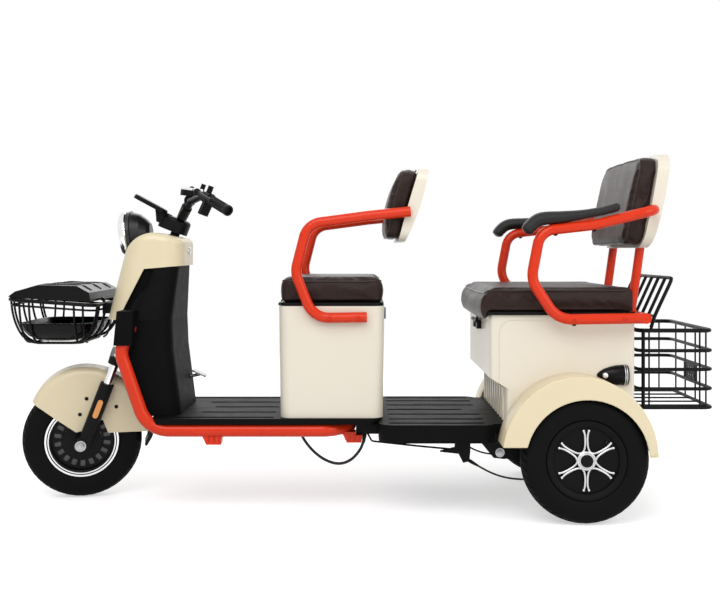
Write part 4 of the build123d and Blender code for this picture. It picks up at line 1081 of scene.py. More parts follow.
@dataclass
class FatTyre:
    """Tyre section and tread, about local Y with its outside at -Y."""

    radius: float = 0.190
    half: float = 0.042
    bore: float = 0.1043
    seat_half: float = 0.0307
    lip: float = 0.1173
    steps: int = 480
    shoulder_drop: float = 0.012
    tread_drop: float = 0.020
    blocks: int = 44
    groove_depth: float = 0.0042
    groove_at: float = 0.0105
    groove_half: float = 0.0021
    groove_steep: float = 2.2
    zigzag: float = 0.0016
    bar_from: float = 0.0135
    bar_half: float = 0.13
    bar_slant: float = 26.0
    edge_fade: float = 0.006
    ring_start: float = 0.1225
    ring_end: float = 0.150
    ring_pitch: float = 0.0075
    ring_depth: float = 0.0005

    def section(self) -> list[Pair]:
        """Outline of the tyre's section.

        Returns:
            (across, radius) points from the left bead over the crown to the right bead.
        """
        shoulder = (self.half - 0.007, self.radius - self.shoulder_drop)
        toe = (self.half - 0.005, self.lip + 0.004)
        wall = arc_points(toe, (self.half, (self.lip + self.radius) / 2 - 0.002), shoulder, 14)
        crown = arc_points(shoulder, (0.0, self.radius), (-shoulder[0], shoulder[1]), 45)
        right = [(self.seat_half, self.bore), (self.seat_half, self.lip), *wall]
        left = [(-y, r) for y, r in reversed(right)]
        return [*right, *crown[1:-1], *left]

    def cut(self, across: float, radius: float, turn: float) -> float:
        """Depth of the tread pattern at a place.

        Args:
            across: distance from the wheel's middle plane, signed.
            radius: distance from the axle.
            turn: angle round the axle in radians.

        Returns:
            The depth in metres.
        """
        far = abs(across)
        if far > self.half - 0.0055 and radius < self.radius - self.shoulder_drop:
            ring = math.cos((radius - self.ring_start) / self.ring_pitch * math.tau)
            return self.ring_depth * max(0.0, ring) if radius < self.ring_end else 0.0
        if radius < self.radius - self.tread_drop or far > self.half:
            return 0.0
        swing = self.zigzag * math.sin(turn * self.blocks)
        rib = max(0.0, 1 - abs(far - self.groove_at - swing) / self.groove_half)
        shift = math.copysign(0.25, across) + far * self.bar_slant
        phase = (turn * self.blocks / math.tau + shift) % 1.0
        bar = max(0.0, 1 - abs(phase - 0.5) / self.bar_half) if far > self.bar_from else 0.0
        fade = min(1.0, (self.half - far) / self.edge_fade)
        return self.groove_depth * min(1.0, self.groove_steep * max(rib, bar)) * max(0.0, fade)

    def mesh(self, name: str, place: Matrix) -> bpy.types.Mesh:
        """The tyre's mesh at a place.

        Args:
            name: name of the mesh.
            place: the wheel's frame.

        Returns:
            The mesh.
        """
        section = self.section()
        width = len(section)
        points, faces = [], []
        for step in range(self.steps):
            turn = math.tau * step / self.steps
            for across, radius in section:
                deep = radius - self.cut(across, radius, turn)
                points.append((deep * math.sin(turn), across, deep * math.cos(turn)))
        for step in range(self.steps):
            low, high = step * width, (step + 1) % self.steps * width
            for index in range(width):
                after = (index + 1) % width
                faces.append((low + index, low + after, high + after, high + index))
        return mesh_from(name, points, faces, place, 50.0)


@dataclass
class Wheels(SubAssembly):
    """All three wheels: tyres with tread, rims, trim and valves."""

    tyre: FatTyre = field(default_factory=FatTyre)
    rear_axle: Point = (0.668, 0.334, 0.190)
    cap_depth: float = 0.0343
    valve_ends: tuple[Point, Point] = ((0.070, -0.012, 0.065), (0.056, -0.030, 0.052))
    spokes: int = 6
    rail_radius: float = 0.0033
    spoke_rail: tuple[Point, ...] = (
        (0.0240, 0.0128, 0.0300), (0.0310, 0.0074, 0.0298), (0.0450, 0.0041, 0.0290),
        (0.0650, 0.0035, 0.0280), (0.0780, 0.0048, 0.0276), (0.0875, 0.0078, 0.0272))

    def rear_place(self, side: int) -> Matrix:
        """Rear wheel's frame, its local -Y facing outward.

        Args:
            side: -1 for the left wheel and 1 for the right one.

        Returns:
            The frame.
        """
        x, y, z = self.rear_axle
        turn = Matrix.Rotation(math.pi, 4, "Z") if side > 0 else Matrix.Identity(4)
        return Matrix.Translation((x, side * y, z)) @ turn

    def build(self) -> None:
        """Builds and dresses the pieces."""
        shop = self.shop
        for node, body, place in (("front_tyre", "front_wheel", FRONT_HUB),
                                  ("rear_tyre_left", "rear_wheel_left", self.rear_place(-1)),
                                  ("rear_tyre_right", "rear_wheel_right", self.rear_place(1))):
            piece = shop.add(node + "_tread", self.tyre.mesh(node, place), Coat.TYRE, body, "tyre")
            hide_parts(node)
            self.valve(body, place)
            if place is not FRONT_HUB:
                self.hub_cap(body, place)
        shop.dress(Coat.WIRE, "front_rim")
        shop.dress(Coat.CHROME, "front_rim_rings")
        shop.dress(Coat.DISC, "rear_rim_left", "rear_rim_right")
        self.front_trim()
        self.star("rear_wheel_left", self.rear_place(-1), "rear_star_left")
        self.star("rear_wheel_right", self.rear_place(1), "rear_star_right")

    def front_trim(self) -> None:
        """Plate and bead on the front rim's outside, and a black band of painted shade on each
        ring.
        """
        outside, far_side = (FRONT_HUB @ axis_matrix((0.0, 0.0, 0.0), (0.0, way, 0.0))
                             for way in (-1.0, 1.0))
        plate = [(0.009, 0.045), (0.009, 0.096), (0.0115, 0.096), (0.0115, 0.045)]
        self.shop.turn("rim_plate", plate, 64, outside, Coat.GRAPHITE, "front_wheel", "steel")
        bead = [(0.0178, 0.0612), (0.0190, 0.0612), (0.0196, 0.0620), (0.0190, 0.0628),
                (0.0178, 0.0628)]
        self.shop.turn("rim_bead", bead, 64, outside, Coat.CHROME, "front_wheel", "chrome")
        # black band on each chrome ring: painted shade standing in for a groove's recess
        groove = [(0.0398, 0.1075), (0.0406, 0.1078), (0.0406, 0.1112), (0.0398, 0.1115)]
        groove_shades = [lathe("ring_groove_shade", groove, 96, place) for place in (outside, far_side)]
        self.shop.gather("ring_groove_shades", groove_shades, Coat.TYRE, "front_wheel", "rim_black")

    def star(self, body: str, place: Matrix, node: str) -> None:
        """Cast star: spokes of two rails each, which spread into the hub and fork at the rim.

        Args:
            body: the wheel it turns with.
            place: the wheel's frame.
            node: the plain CAD star it replaces.
        """
        outward = (0.0, -1.0, 0.0)
        knob = [(-0.0030, 0.0), (-0.0030, 0.0042), (0.0010, 0.0042), (0.0030, 0.0030),
                (0.0036, 0.0)]
        ring = [(0.0240, 0.0205), (0.0345, 0.0205), (0.0348, 0.0215), (0.0348, 0.0262),
                (0.0335, 0.0280), (0.0240, 0.0290)]
        meshes = [lathe("ring", ring, 56, axis_matrix((0.0, 0.0, 0.0), outward))]
        for index in range(self.spokes):
            turn = Matrix.Rotation(math.tau * index / self.spokes, 4, "Y")
            for side in (-1, 1):
                line = [turn @ Vector((side * out, -deep, reach))
                        for reach, out, deep in self.spoke_rail]
                meshes += [pipe("rail", flowing(line, 0.004), self.rail_radius, 12),
                           lathe("knob", knob, 16, axis_matrix(line[-1], outward), 60.0)]
        mesh = joined(node + "_cast", meshes)
        mesh.transform(place)
        piece = self.shop.add(node + "_cast", mesh, Coat.STAR, body, "star_silver")
        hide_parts(node)

    def hub_cap(self, body: str, place: Matrix) -> None:
        """Domed black cap in a polished ring at the middle of a rear wheel.

        Args:
            body: the wheel it turns with.
            place: the wheel's frame.
        """
        seat = axis_matrix(place @ Vector((0.0, -self.cap_depth, 0.0)),
                           place.to_3x3() @ Vector((0.0, -1.0, 0.0)))
        ring = [(-0.002, 0.0174), (-0.002, 0.0226), (0.0016, 0.0226), (0.0030, 0.0212),
                (0.0030, 0.0188), (0.0012, 0.0174)]
        self.shop.turn(body + "_hub_ring", ring, 48, seat, Coat.STAR, body, "star_silver")
        dome = [(0.002, 0.0), (0.002, 0.0172), (0.0085, 0.0172), (0.0098, 0.0158),
                (0.0106, 0.011), (0.0109, 0.0)]
        self.shop.turn(body + "_cap", dome, 48, seat, Coat.PLASTIC, body, "rim_black", 50.0)

    def valve(self, body: str, place: Matrix) -> None:
        """Valve stem through the rim's well.

        Args:
            body: the wheel it turns with.
            place: the wheel's frame.
        """
        root, tip = (place @ Vector(end) for end in self.valve_ends)
        length = (tip - root).length
        profile = [(0.0, 0.0), (0.0, 0.0052), (length * 0.35, 0.0048), (length * 0.4, 0.0036),
                   (length * 0.95, 0.0036), (length, 0.0028), (length, 0.0)]
        self.shop.turn(body + "_valve", profile, 14, axis_matrix(root, tip - root), Coat.GRIP,
                       body, "tyre")


# Steering

@dataclass
class Steering(SubAssembly):
    """Fork, fender, bars and dash: everything that turns with the bars."""

    body: str = "steering"
    grip_start: Point = (0.030, 0.250, 1.076)
    grip_end: Point = (0.104, 0.374, 1.062)
    grip_radius: float = 0.017
    grip_length: float = 0.104
    grip_bore: float = 0.0115
    grip_overhang: float = 0.008
    grip_ribs: int = 22
    axle_half: float = 0.1015
    gauge_at: Point = (0.002, 0.0, 1.070)
    gauge_tilt: float = math.radians(-14.0)
    gauge_lift: float = 0.012
    scale_marks: int = 11
    scale_radius: float = 0.0245
    fender_screw_at: tuple[Pair, ...] = ((-0.880, 0.329), (-0.9015, 0.278), (-0.789, 0.300))

    def local(self, point: Point, side: int = 1) -> Vector:
        """World point from one beside the steering axis."""
        x, y, z = point
        return PARK_TURN @ HEAD @ Vector((x, side * y, z))

    def build(self) -> None:
        """Builds and dresses the pieces."""
        shop = self.shop
        shop.dress(Coat.CREAM, "front_fender")
        shop.dress(Coat.STEEL, "fork_legs", "steering_stem")
        shop.dress(Coat.CHROME, "fork_stanchions")
        shop.dress(Coat.ZINC, "front_axle")
        shop.dress(Coat.AMBER, "fork_reflectors")
        shop.dress(Coat.PLASTIC, "handlebar", "steering_cover", "bar_controls", "dash")
        shop.dress(Coat.GRIP, "mud_flap")
        self.grips()
        self.fender_screws()
        self.axle_nuts()
        self.gauge()

    def grips(self) -> None:
        """Ribbed rubber grips with a flange and an end bead."""
        length, radius, bore = self.grip_length, self.grip_radius, self.grip_bore
        run = length - 0.018
        pitch = run / self.grip_ribs
        profile = [(0.0, bore), (0.0, radius), (0.004, radius), (0.006, radius * 0.93)]
        for rib in range(self.grip_ribs):
            at = 0.006 + run * rib / self.grip_ribs
            profile += [(at + pitch * 0.2, radius * 0.90), (at + pitch * 0.6, radius * 0.95)]
        profile += [(length - 0.009, radius * 0.92), (length - 0.006, radius * 0.99),
                    (length - 0.001, radius * 0.97), (length, radius * 0.8), (length, bore)]
        meshes = []
        for side in (-1, 1):
            start, end = self.local(self.grip_start, side), self.local(self.grip_end, side)
            along = (end - start).normalized()
            root = end - along * (length - self.grip_overhang)
            meshes.append(lathe("grip", profile, 36, axis_matrix(root, along)))
        grips = self.shop.gather("ribbed_grips", meshes, Coat.GRIP, self.body, "pad_black")
        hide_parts("grips")

    def axle_nuts(self) -> None:
        """Hexagon nuts on both ends of the front axle."""
        seats = [axis_matrix(FRONT_HUB @ Vector((0.0, side * self.axle_half, 0.0)),
                             FRONT_HUB.to_3x3() @ Vector((0.0, side, 0.0))) for side in (-1, 1)]
        nuts = [hex_nut_mesh("axle_nut", seat, 0.0132, 0.0108) for seat in seats]
        self.shop.gather("front_axle_nuts", nuts, Coat.ZINC, self.body, "steel")

    def gauge(self) -> None:
        """Round gauge set in the dash: a bezel, a dark dial under glass and a raised scale."""
        tilt = Matrix.Rotation(self.gauge_tilt, 4, "Y")
        lift = Matrix.Translation((0.0, 0.0, self.gauge_lift))
        face = PARK_TURN @ HEAD @ Matrix.Translation(self.gauge_at) @ tilt @ lift
        bezel = [(-0.004, 0.0362), (0.0015, 0.0362), (0.0032, 0.0350), (0.0034, 0.0325),
                 (0.0022, 0.0310), (0.0002, 0.0308), (-0.004, 0.0330)]
        self.shop.turn("dash_bezel", bezel, 56, face, Coat.CHROME, self.body, "chrome")
        glass = [(0.0002, 0.0), (0.0002, 0.0309), (0.0014, 0.0300), (0.0022, 0.020), (0.0025, 0.0)]
        self.shop.turn("dash_glass", glass, 56, face, Coat.GLOSS_BLACK, self.body,
                       "black_plastic", 60.0)
        mark = [(0.0, 0.0), (0.0, 0.0011), (0.0009, 0.0008), (0.0009, 0.0)]
        up = face.to_3x3() @ Vector((0.0, 0.0, 1.0))
        marks = []
        for index in range(self.scale_marks):
            turn = math.radians(-130.0 + 26.0 * index)
            spot = face @ Vector((-math.cos(turn) * self.scale_radius,
                                  math.sin(turn) * self.scale_radius, 0.0013))
            marks.append(lathe("mark", mark, 8, axis_matrix(spot, up)))
        self.shop.gather("dash_scale", marks, Coat.STAR, self.body, "star_silver")

    def fender_screws(self) -> None:
        """Screws through the fender's sides."""
        spots = [((x, side * 0.5, z), (0, -side, 0)) for side in (-1, 1)
                 for x, z in self.fender_screw_at]
        self.screws("fender_screws", "front_fender", spots, Coat.WIRE, self.body, "black_frame",
                    0.0062)


# Frame

@dataclass
class FrameAndDecks(SubAssembly):
    """Painted frame, sub-frame, decks, cowl and shield."""

    lining_outline: tuple[Pair, ...] = (
        (-0.768, 0.590), (-0.728, 0.668), (-0.690, 0.752), (-0.630, 0.757), (-0.630, 0.700),
        (-0.690, 0.610), (-0.722, 0.590))
    lining_faces: Pair = (0.1155, 0.1180)
    pivot_at: Pair = (0.432, 0.188)
    lock_ray: Point = (-0.40, 0.0, 0.806)

    def build(self) -> None:
        """Builds and dresses the pieces."""
        shop = self.shop
        shop.dress(Coat.RED, "main_frame")
        shop.dress(Coat.CREAM, "front_cowl")
        shop.dress(Coat.SHIELD, "leg_shield")
        shop.dress(Coat.DECK, "front_deck", "rear_deck", round_edge=0.0015)
        shop.dress(Coat.STEEL, "rear_subframe", "rear_axle")
        shop.dress(Coat.ZINC, "brake_pedal")
        self.pivot_bolts()
        self.key_lock()
        self.linings()

    def linings(self) -> None:
        """Dark panels that close the openings between the cowl's apron and the leg shield."""
        panels = [loft("lining", [[Vector((x, side * y, z)) for x, z in self.lining_outline]
                                  for y in self.lining_faces]) for side in (-1, 1)]
        self.shop.gather("cowl_linings", panels, Coat.SHIELD, "frame", "black_plastic")

    def pivot_bolts(self) -> None:
        """Bolt heads with bright washers where the trailing arms pivot."""
        x, z = self.pivot_at
        seats = [self.shop.seat("rear_subframe", (x, side * 0.5, z), (0, -side, 0))
                 for side in (-1, 1)]
        meshes = [hex_nut_mesh("pivot_bolt", seat, 0.0105, 0.009) for seat in seats if seat]
        self.shop.gather("pivot_bolts", meshes, Coat.ZINC, "frame", "steel")

    def key_lock(self) -> None:
        """Lock barrel with its ring on the back of the cowl."""
        seat = self.shop.seat("front_cowl", self.lock_ray, (-1, 0, 0))
        if not seat:
            return
        ring = [(-0.002, 0.006), (-0.002, 0.0115), (0.0035, 0.0115), (0.0050, 0.0100),
                (0.0050, 0.0075), (0.0030, 0.006)]
        self.shop.turn("lock_ring", ring, 32, seat, Coat.CHROME, "frame", "chrome")
        barrel = [(-0.001, 0.0), (-0.001, 0.0062), (0.0034, 0.0062), (0.0038, 0.0055),
                  (0.0038, 0.0)]
        self.shop.turn("lock_barrel", barrel, 32, seat, Coat.ZINC, "frame", "steel")


# Upholstery

@dataclass
class Padding:
    """Turns a plain CAD pad into stuffed upholstery."""

    voxel: float = 0.006
    shrink: float = 0.004
    pressure: float = 4.0
    cap: float = 0.008
    frames: int = 16
    quality: int = 4

    def swell(self, name: str, node: bpy.types.Object) -> bpy.types.Mesh:
        """Remeshes a copy of the node and blows it up a little.

        Args:
            name: name of the new mesh.
            node: the CAD node to start from.

        Returns:
            The stuffed mesh.
        """
        mesh = node.data.copy()
        mesh.name = name
        work = linked(name + "_work", mesh)
        self._apply(work, "WELD", {"merge_threshold": 1e-5})
        self._apply(work, "REMESH", {"mode": "VOXEL", "voxel_size": self.voxel})
        self._apply(work, "SMOOTH", {"factor": 0.5, "iterations": 3})
        for vertex in work.data.vertices:
            vertex.co -= vertex.normal * self.shrink
        self._blow(work)
        self._apply(work, "SUBSURF", {"levels": 1})
        result = work.data
        bpy.data.objects.remove(work)
        return smooth(result, 180.0)

    @staticmethod
    def _bake(work: bpy.types.Object) -> bpy.types.Mesh:
        """Turns an object's modifiers into a new mesh.

        Args:
            work: the object, which wears the mesh afterwards.

        Returns:
            The mesh.
        """
        view = bpy.context.evaluated_depsgraph_get()
        fresh = bpy.data.meshes.new_from_object(work.evaluated_get(view))
        work.modifiers.clear()
        work.data = fresh
        return fresh

    def _apply(self, work: bpy.types.Object, kind: str, settings: dict) -> None:
        """Adds a modifier and applies it.

        Args:
            work: the object.
            kind: the modifier's type.
            settings: its properties.
        """
        modifier = work.modifiers.new(kind, kind)
        for key, value in settings.items():
            setattr(modifier, key, value)
        self._bake(work)

    def _blow(self, work: bpy.types.Object) -> None:
        """Runs the cloth pressure and keeps each point within the cap.

        Args:
            work: the object to blow up.
        """
        scene = bpy.context.scene
        rest = [vertex.co.copy() for vertex in work.data.vertices]
        cloth = work.modifiers.new("cloth", "CLOTH")
        cloth.settings.use_pressure = True
        cloth.settings.uniform_pressure_force = self.pressure
        cloth.settings.effector_weights.gravity = 0.0
        cloth.settings.quality = self.quality
        cloth.point_cache.frame_start = 1
        cloth.point_cache.frame_end = self.frames
        for number in range(1, self.frames + 1):
            scene.frame_set(number)
        fresh = self._bake(work)
        scene.frame_set(1)
        for vertex, home in zip(fresh.vertices, rest):
            step = vertex.co - home
            if step.length > self.cap:
                vertex.co = home + step.normalized() * self.cap


@dataclass
class Seats(SubAssembly):
    """Both seats: boxes, cushions, backrests and arms."""

    padding: Padding = field(default_factory=Padding)
    skins: dict[str, bpy.types.Mesh] = field(default_factory=dict)
    welt_radius: float = 0.0026
    welt_rise: float = 0.4
    welt_smoothing: int = 4
    cushion_inset: float = 0.010
    back_inset: float = 0.007
    rest_inset: float = 0.022
    rest_length: float = 0.32
    rest_nose: float = 0.014
    rest_spine: tuple[Pair, ...] = (
        (0.510, 0.880), (0.540, 0.9005), (0.600, 0.9065), (0.660, 0.9135), (0.720, 0.9245))

    def build(self) -> None:
        """Builds and dresses the pieces."""
        shop = self.shop
        shop.dress(Coat.IVORY, "front_seat_box", "rear_body", "front_back_shell", "rear_back_shell")
        shop.dress(Coat.CREAM, "rear_fender_left", "rear_fender_right", round_edge=0.008)
        shop.dress(Coat.RED, "front_arms", "rear_arm_frame")
        shop.dress(Coat.STEEL, "seat_hinges", "battery_block")
        shop.dress(Coat.PLASTIC, "front_seat_pan", "bench_pan", "seat_latch")
        for node, body in (("front_cushion", "front_seat"), ("bench_cushion", "bench_seat"),
                           ("front_back_pad", "frame"), ("rear_back_pad", "frame")):
            self.pad(node, body)
        self.welts()
        self.arm_bolts()
        self.arm_pads()

    def pad(self, node: str, body: str) -> None:
        """Replaces a plain pad by a stuffed one.

        Args:
            node: the plain CAD pad.
            body: the body it rides on.
        """
        mesh = self.padding.swell(node + "_stuffed", self.shop.frame["nodes"][node])
        piece = self.shop.add(node + "_stuffed", mesh, Coat.SEAT, body, "seat_leather")
        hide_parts(node)
        self.skins[node] = mesh

    def welts(self) -> None:
        """Sewn piping round each cushion's top and each backrest's front."""
        inset = self.cushion_inset
        for node, body, corner, drop in (("front_cushion", "front_seat", 0.034, 0.008),
                                         ("bench_cushion", "bench_seat", 0.030, 0.006)):
            low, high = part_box(node)
            loop = rounded_loop((low[0] + inset, low[1] + inset),
                                (high[0] - inset, high[1] - inset), corner)
            self.welt(node, body, lifted(loop, high[2] - drop))
        inset = self.back_inset
        for node, corner, lean in (("front_back_pad", 0.040, 0.25), ("rear_back_pad", 0.054, 0.20)):
            low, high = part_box(node)
            loop = rounded_loop((low[1] + inset, low[2] + inset),
                                (high[1] - inset, high[2] - inset), corner)
            self.welt(node, "frame", [Vector((low[0] + (z - low[2]) * lean, y, z))
                                      for y, z in loop])

    def welt(self, node: str, body: str, route: Sequence[Vector]) -> None:
        """Lays piping on a stuffed pad.

        Args:
            node: the pad's CAD node.
            body: the body it rides on.
            route: closed line near the pad's skin.
        """
        skin = self.skins[node]
        tree = BVHTree.FromPolygons([v.co for v in skin.vertices],
                                    [p.vertices for p in skin.polygons])
        spots = []
        for point in route:
            spot, normal, _, _ = tree.find_nearest(point)
            spots.append(spot + normal * self.welt_radius * self.welt_rise)
        for _ in range(self.welt_smoothing):
            spots = [(spots[i - 1] + spots[i] * 2 + spots[(i + 1) % len(spots)]) / 4
                     for i in range(len(spots))]
        mesh = pipe(node + "_piping", spots, self.welt_radius, 10, closed=True)
        self.shop.add(node + "_piping", mesh, Coat.PIPING, body, "seat_leather")

    def arm_pads(self) -> None:
        """Moulded rests over the rear arms, thick over the hand and curled down at the nose."""
        low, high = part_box("rear_arm_pads")
        middle = high[1] - self.rest_inset
        line = ((low[0] - 0.002, low[2] + 0.008), *self.rest_spine,
                (high[0] - 0.004, high[2] - 0.014))
        meshes = []
        for side in (-1, 1):
            spine = flowing([(x, side * middle, z) for x, z in line], 0.003)
            last = len(spine) - 1
            loops = [self.rest_loop(spot, spine[min(index + 1, last)] - spine[max(index - 1, 0)],
                                    index / last)
                     for index, spot in enumerate(spine)]
            meshes.append(loft("arm_pad", loops, 60.0))
        piece = self.shop.gather("rear_arm_rests", meshes, Coat.ARM_PAD, "frame", "pad_black")
        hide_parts("rear_arm_pads")

    def rest_loop(self, spot: Vector, along: Vector, share: float) -> list[Vector]:
        """Section of an arm rest, smaller towards both its ends.

        Args:
            spot: middle of the section.
            along: the rest's direction there.
            share: place along the rest, from 0 to 1.

        Returns:
            Points round the section.
        """
        gone = min(share, 1 - share) * self.rest_length
        end = math.sqrt(max(0.06, 1 - (1 - min(gone / self.rest_nose, 1.0)) ** 2))
        tall = (0.0195 - 0.0055 * share + 0.002 * math.sin(share * math.tau)) * end
        wide = (0.0240 - 0.0040 * share) * end
        across = Vector((0.0, 1.0, 0.0))
        up = along.normalized().cross(across)
        return [spot + across * (wide * math.cos(turn)) + up * (tall * math.sin(turn))
                for turn in (math.tau * step / 24 for step in range(24))]

    def arm_bolts(self) -> None:
        """Button-head bolts through the arm tubes and under the arm rests."""
        for node, places in (("front_arms", ((-0.090, 0.602), (0.000, 0.603))),
                             ("rear_arm_frame", ((0.640, 0.603), (0.790, 0.605)))):
            rays = [((x, side * 0.6, z), (0, -side, 0)) for side in (-1, 1) for x, z in places]
            self.screws(node + "_bolts", node, rays, Coat.RED, "frame", "red_frame", 0.0075)
        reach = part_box("rear_arm_pads")[1][1] - self.rest_inset
        rays = [((x, side * reach, z), (0, 0, 1)) for side in (-1, 1)
                for x, z in ((0.585, 0.78), (0.700, 0.80), (0.640, 0.5))]
        self.screws("arm_rest_bolts", "rear_arm_frame", rays, Coat.PLASTIC, "frame",
                    "black_plastic", 0.0065)


# Lamps and baskets

@dataclass
class LampsAndBaskets(SubAssembly):
    """Headlight, side lamps and all the wire work."""

    headlight_at: Point = (-0.768, 0.0, 0.860)
    headlight_axis: Point = (0.99452, 0.0, 0.10453)
    lamp_bulge: float = 0.85
    basket_x: Pair = (-1.095, -0.824)
    basket_half: float = 0.188
    basket_middle: float = -0.96
    basket_floor: float = 0.5145
    rim_top: float = 0.655
    rim_fall: float = 0.019
    rib_radius: float = 0.0036
    rib_curve: tuple[Pair, ...] = (
        (0.0, 0.0), (0.005, 0.30), (0.016, 0.58), (0.034, 0.82), (0.058, 0.955), (0.085, 1.0))
    tub_skin: tuple[Pair, ...] = (
        (0.078, 0.5225), (0.0605, 0.5275), (0.0435, 0.540), (0.031, 0.560), (0.026, 0.5765),
        (0.0225, 0.5790), (0.0180, 0.5785), (0.0175, 0.5755), (0.0225, 0.5735), (0.0265, 0.557),
        (0.0395, 0.537), (0.056, 0.5245), (0.074, 0.5190))
    lid_dome: tuple[Pair, ...] = (
        (-1.086, 0.6700), (-1.0700, 0.6813), (-1.0, 0.7000), (-0.940, 0.6988), (-0.882, 0.6970),
        (-0.850, 0.6810))
    hoop_radius: float = 0.0056
    hoop_levels: tuple[float, ...] = (0.560, 0.498, 0.440, 0.380, 0.322)
    back_half: float = 0.2085
    back_rise: tuple[Point, ...] = (
        (0.9030, 0.0, 0.5690), (0.9140, 0.0, 0.6040), (0.9400, 0.0, 0.6610), (0.9610, 0.0, 0.7060),
        (0.9668, 0.006, 0.7185), (0.9680, 0.020, 0.7220))

    def build(self) -> None:
        """Builds and dresses the pieces."""
        shop = self.shop
        shop.dress(Coat.GLOSS_BLACK, "basket_lid", round_edge=0.0015)
        shop.dress(Coat.BUCKET, "headlight_bucket")
        shop.dress(Coat.CHROME, "headlight_rim")
        shop.dress(Coat.HEADLAMP, "headlight_lens")
        shop.dress(Coat.WIRE, "rear_basket", "basket_back")
        self.bezel()
        self.side_lamps()
        self.front_wires()
        self.tub()
        self.lid_beads()
        self.rear_wires()

    def bezel(self) -> None:
        """Rolled bright band behind the headlight's rim and a seam round its bucket."""
        low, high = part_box("headlight_rim")
        radius = (high[1] - low[1]) / 2
        place = axis_matrix(self.headlight_at, self.headlight_axis)
        band = [(-0.002, radius - 0.004), (-0.002, radius), (0.0005, radius + 0.0014),
                (0.0095, radius + 0.0010), (0.0125, radius - 0.0015), (0.0125, radius - 0.006)]
        self.shop.turn("headlight_band", band, 72, place, Coat.CHROME, "frame", "chrome")
        seam = [(0.0240, 0.0725), (0.0240, 0.0748), (0.0252, 0.0755), (0.0275, 0.0746),
                (0.0280, 0.0715)]
        self.shop.turn("bucket_seam", seam, 72, place, Coat.GLOSS_BLACK, "frame", "black_plastic")

    def side_lamps(self) -> None:
        """Teardrop lamps: a turned shell, pale bands at its rear and a clear lens in its tip."""
        low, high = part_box("side_lamps")
        inner, length = high[1] - 0.026, high[0] - low[0] + 0.003
        shell = [(0.0, 0.0), (0.003, 0.006), (0.011, 0.0125), (0.023, 0.0195), (0.040, 0.0255),
                 (0.058, 0.0295), (0.076, 0.0310), (length - 0.002, 0.0310), (length, 0.0295),
                 (length, 0.0)]
        bands = [[(at, 0.0306), (at, 0.0318), (at + 0.0024, 0.0318), (at + 0.0024, 0.0306)]
                 for at in (length - 0.0130, length - 0.0075)]
        lens = [(0.0, 0.0), (0.0, 0.0095), (0.0030, 0.0085), (0.0055, 0.0055), (0.0065, 0.0)]
        shells, trims, lenses = [], [], []
        for side in (-1, 1):
            place = axis_matrix((low[0] - 0.003, side * inner, 0.4310), (1.0, 0.0, 0.0))
            shells.append(lathe("lamp_shell", shell, 48, place, 50.0))
            trims += [lathe("lamp_band", band, 48, place) for band in bands]
            for mesh in (shells[-1], *trims[-2:]):
                for vertex in mesh.vertices:
                    past = max(0.0, side * vertex.co.y - inner)
                    vertex.co.y = side * (inner + self.lamp_bulge * past)
            tip = axis_matrix((low[0] + 0.021, side * (inner + 0.0125), 0.4315),
                              (-0.45, side, 0.12))
            lenses.append(lathe("lamp_lens", lens, 28, tip, 60.0))
        piece = self.shop.gather("lamp_shells", shells, Coat.GLOSS_BLACK, "frame", "lamp_black")
        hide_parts("side_lamps")
        self.shop.gather("lamp_bands", trims, Coat.STAR, "frame", "star_silver")
        self.shop.gather("lamp_lenses", lenses, Coat.CLEAR, "frame", "lens")

    def rim_height(self, x: float) -> float:
        """Height of the front basket's sloping rim."""
        x0, x1 = self.basket_x
        return self.rim_top - self.rim_fall * (x - x0) / (x1 - x0)

    def rib(self, start: Pair, lean: Pair) -> bpy.types.Mesh:
        """One wire that falls from the front basket's rim and curves in to its base.

        Args:
            start: its (x, y) at the rim.
            lean: its shift in x and y for each metre of inset.

        Returns:
            The wire's mesh.
        """
        top = self.rim_height(start[0])
        line = [(start[0] + lean[0] * inset, start[1] + lean[1] * inset,
                 top + (self.basket_floor - top) * share)
                for inset, share in self.rib_curve]
        return pipe("rib", flowing(line), self.rib_radius, 8)

    def front_wires(self) -> None:
        """Front basket's rim, its curved ribs and its brackets."""
        (x0, x1), half, gap = self.basket_x, self.basket_half, 0.003
        rim = rounded_loop((x0, -half), (x1, half), 0.034)
        band = rounded_loop((x0 + gap, gap - half), (x1 - gap, half - gap), 0.034)
        base = rounded_loop((-1.035, -0.128), (-0.884, 0.128), 0.030)
        meshes = [pipe("rim", lifted(rim, self.rim_height), 0.006, 12, closed=True),
                  pipe("band", lifted(band, lambda x: self.rim_height(x) - 0.017), 0.0034, 8,
                       closed=True),
                  pipe("base", lifted(base, self.basket_floor), 0.0042, 10, closed=True)]
        ribs = [((edge, y), (way, -y)) for y in (-0.154, -0.128, -0.045, 0.045, 0.128, 0.154)
                for edge, way in ((x0, 1), (x1, -1))]
        ribs += [((x, side * half), (self.basket_middle - x, -side))
                 for x in (-1.058, -1.028, -0.888, -0.860)
                 for side in (-1, 1)]
        meshes += [self.rib(start, lean) for start, lean in ribs]
        hinge = [Vector((x1, y, 0.652)) for y in (-0.096, 0.0, 0.096)]
        meshes.append(pipe("hinge_pin", hinge, 0.003, 12))
        ear = rounded_corners((-0.004, -0.004), (0.004, 0.004), 0.0015)
        arm = rounded_corners((-0.014, -0.018), (0.014, 0.018), 0.005)
        for side in (-1, 1):
            ears = [[Vector((x1 + x, side * 0.070 + y, z)) for x, y in ear] for z in (0.634, 0.656)]
            arms = [[Vector((x, side * 0.060 + y, 0.622 + z)) for y, z in arm]
                    for x in (x1 - 0.004, -0.797)]
            meshes += [loft("ear", ears), loft("arm", arms)]
        piece = self.shop.gather("front_basket_wires", meshes, Coat.WIRE, "frame", "wire_black")
        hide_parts("front_basket")

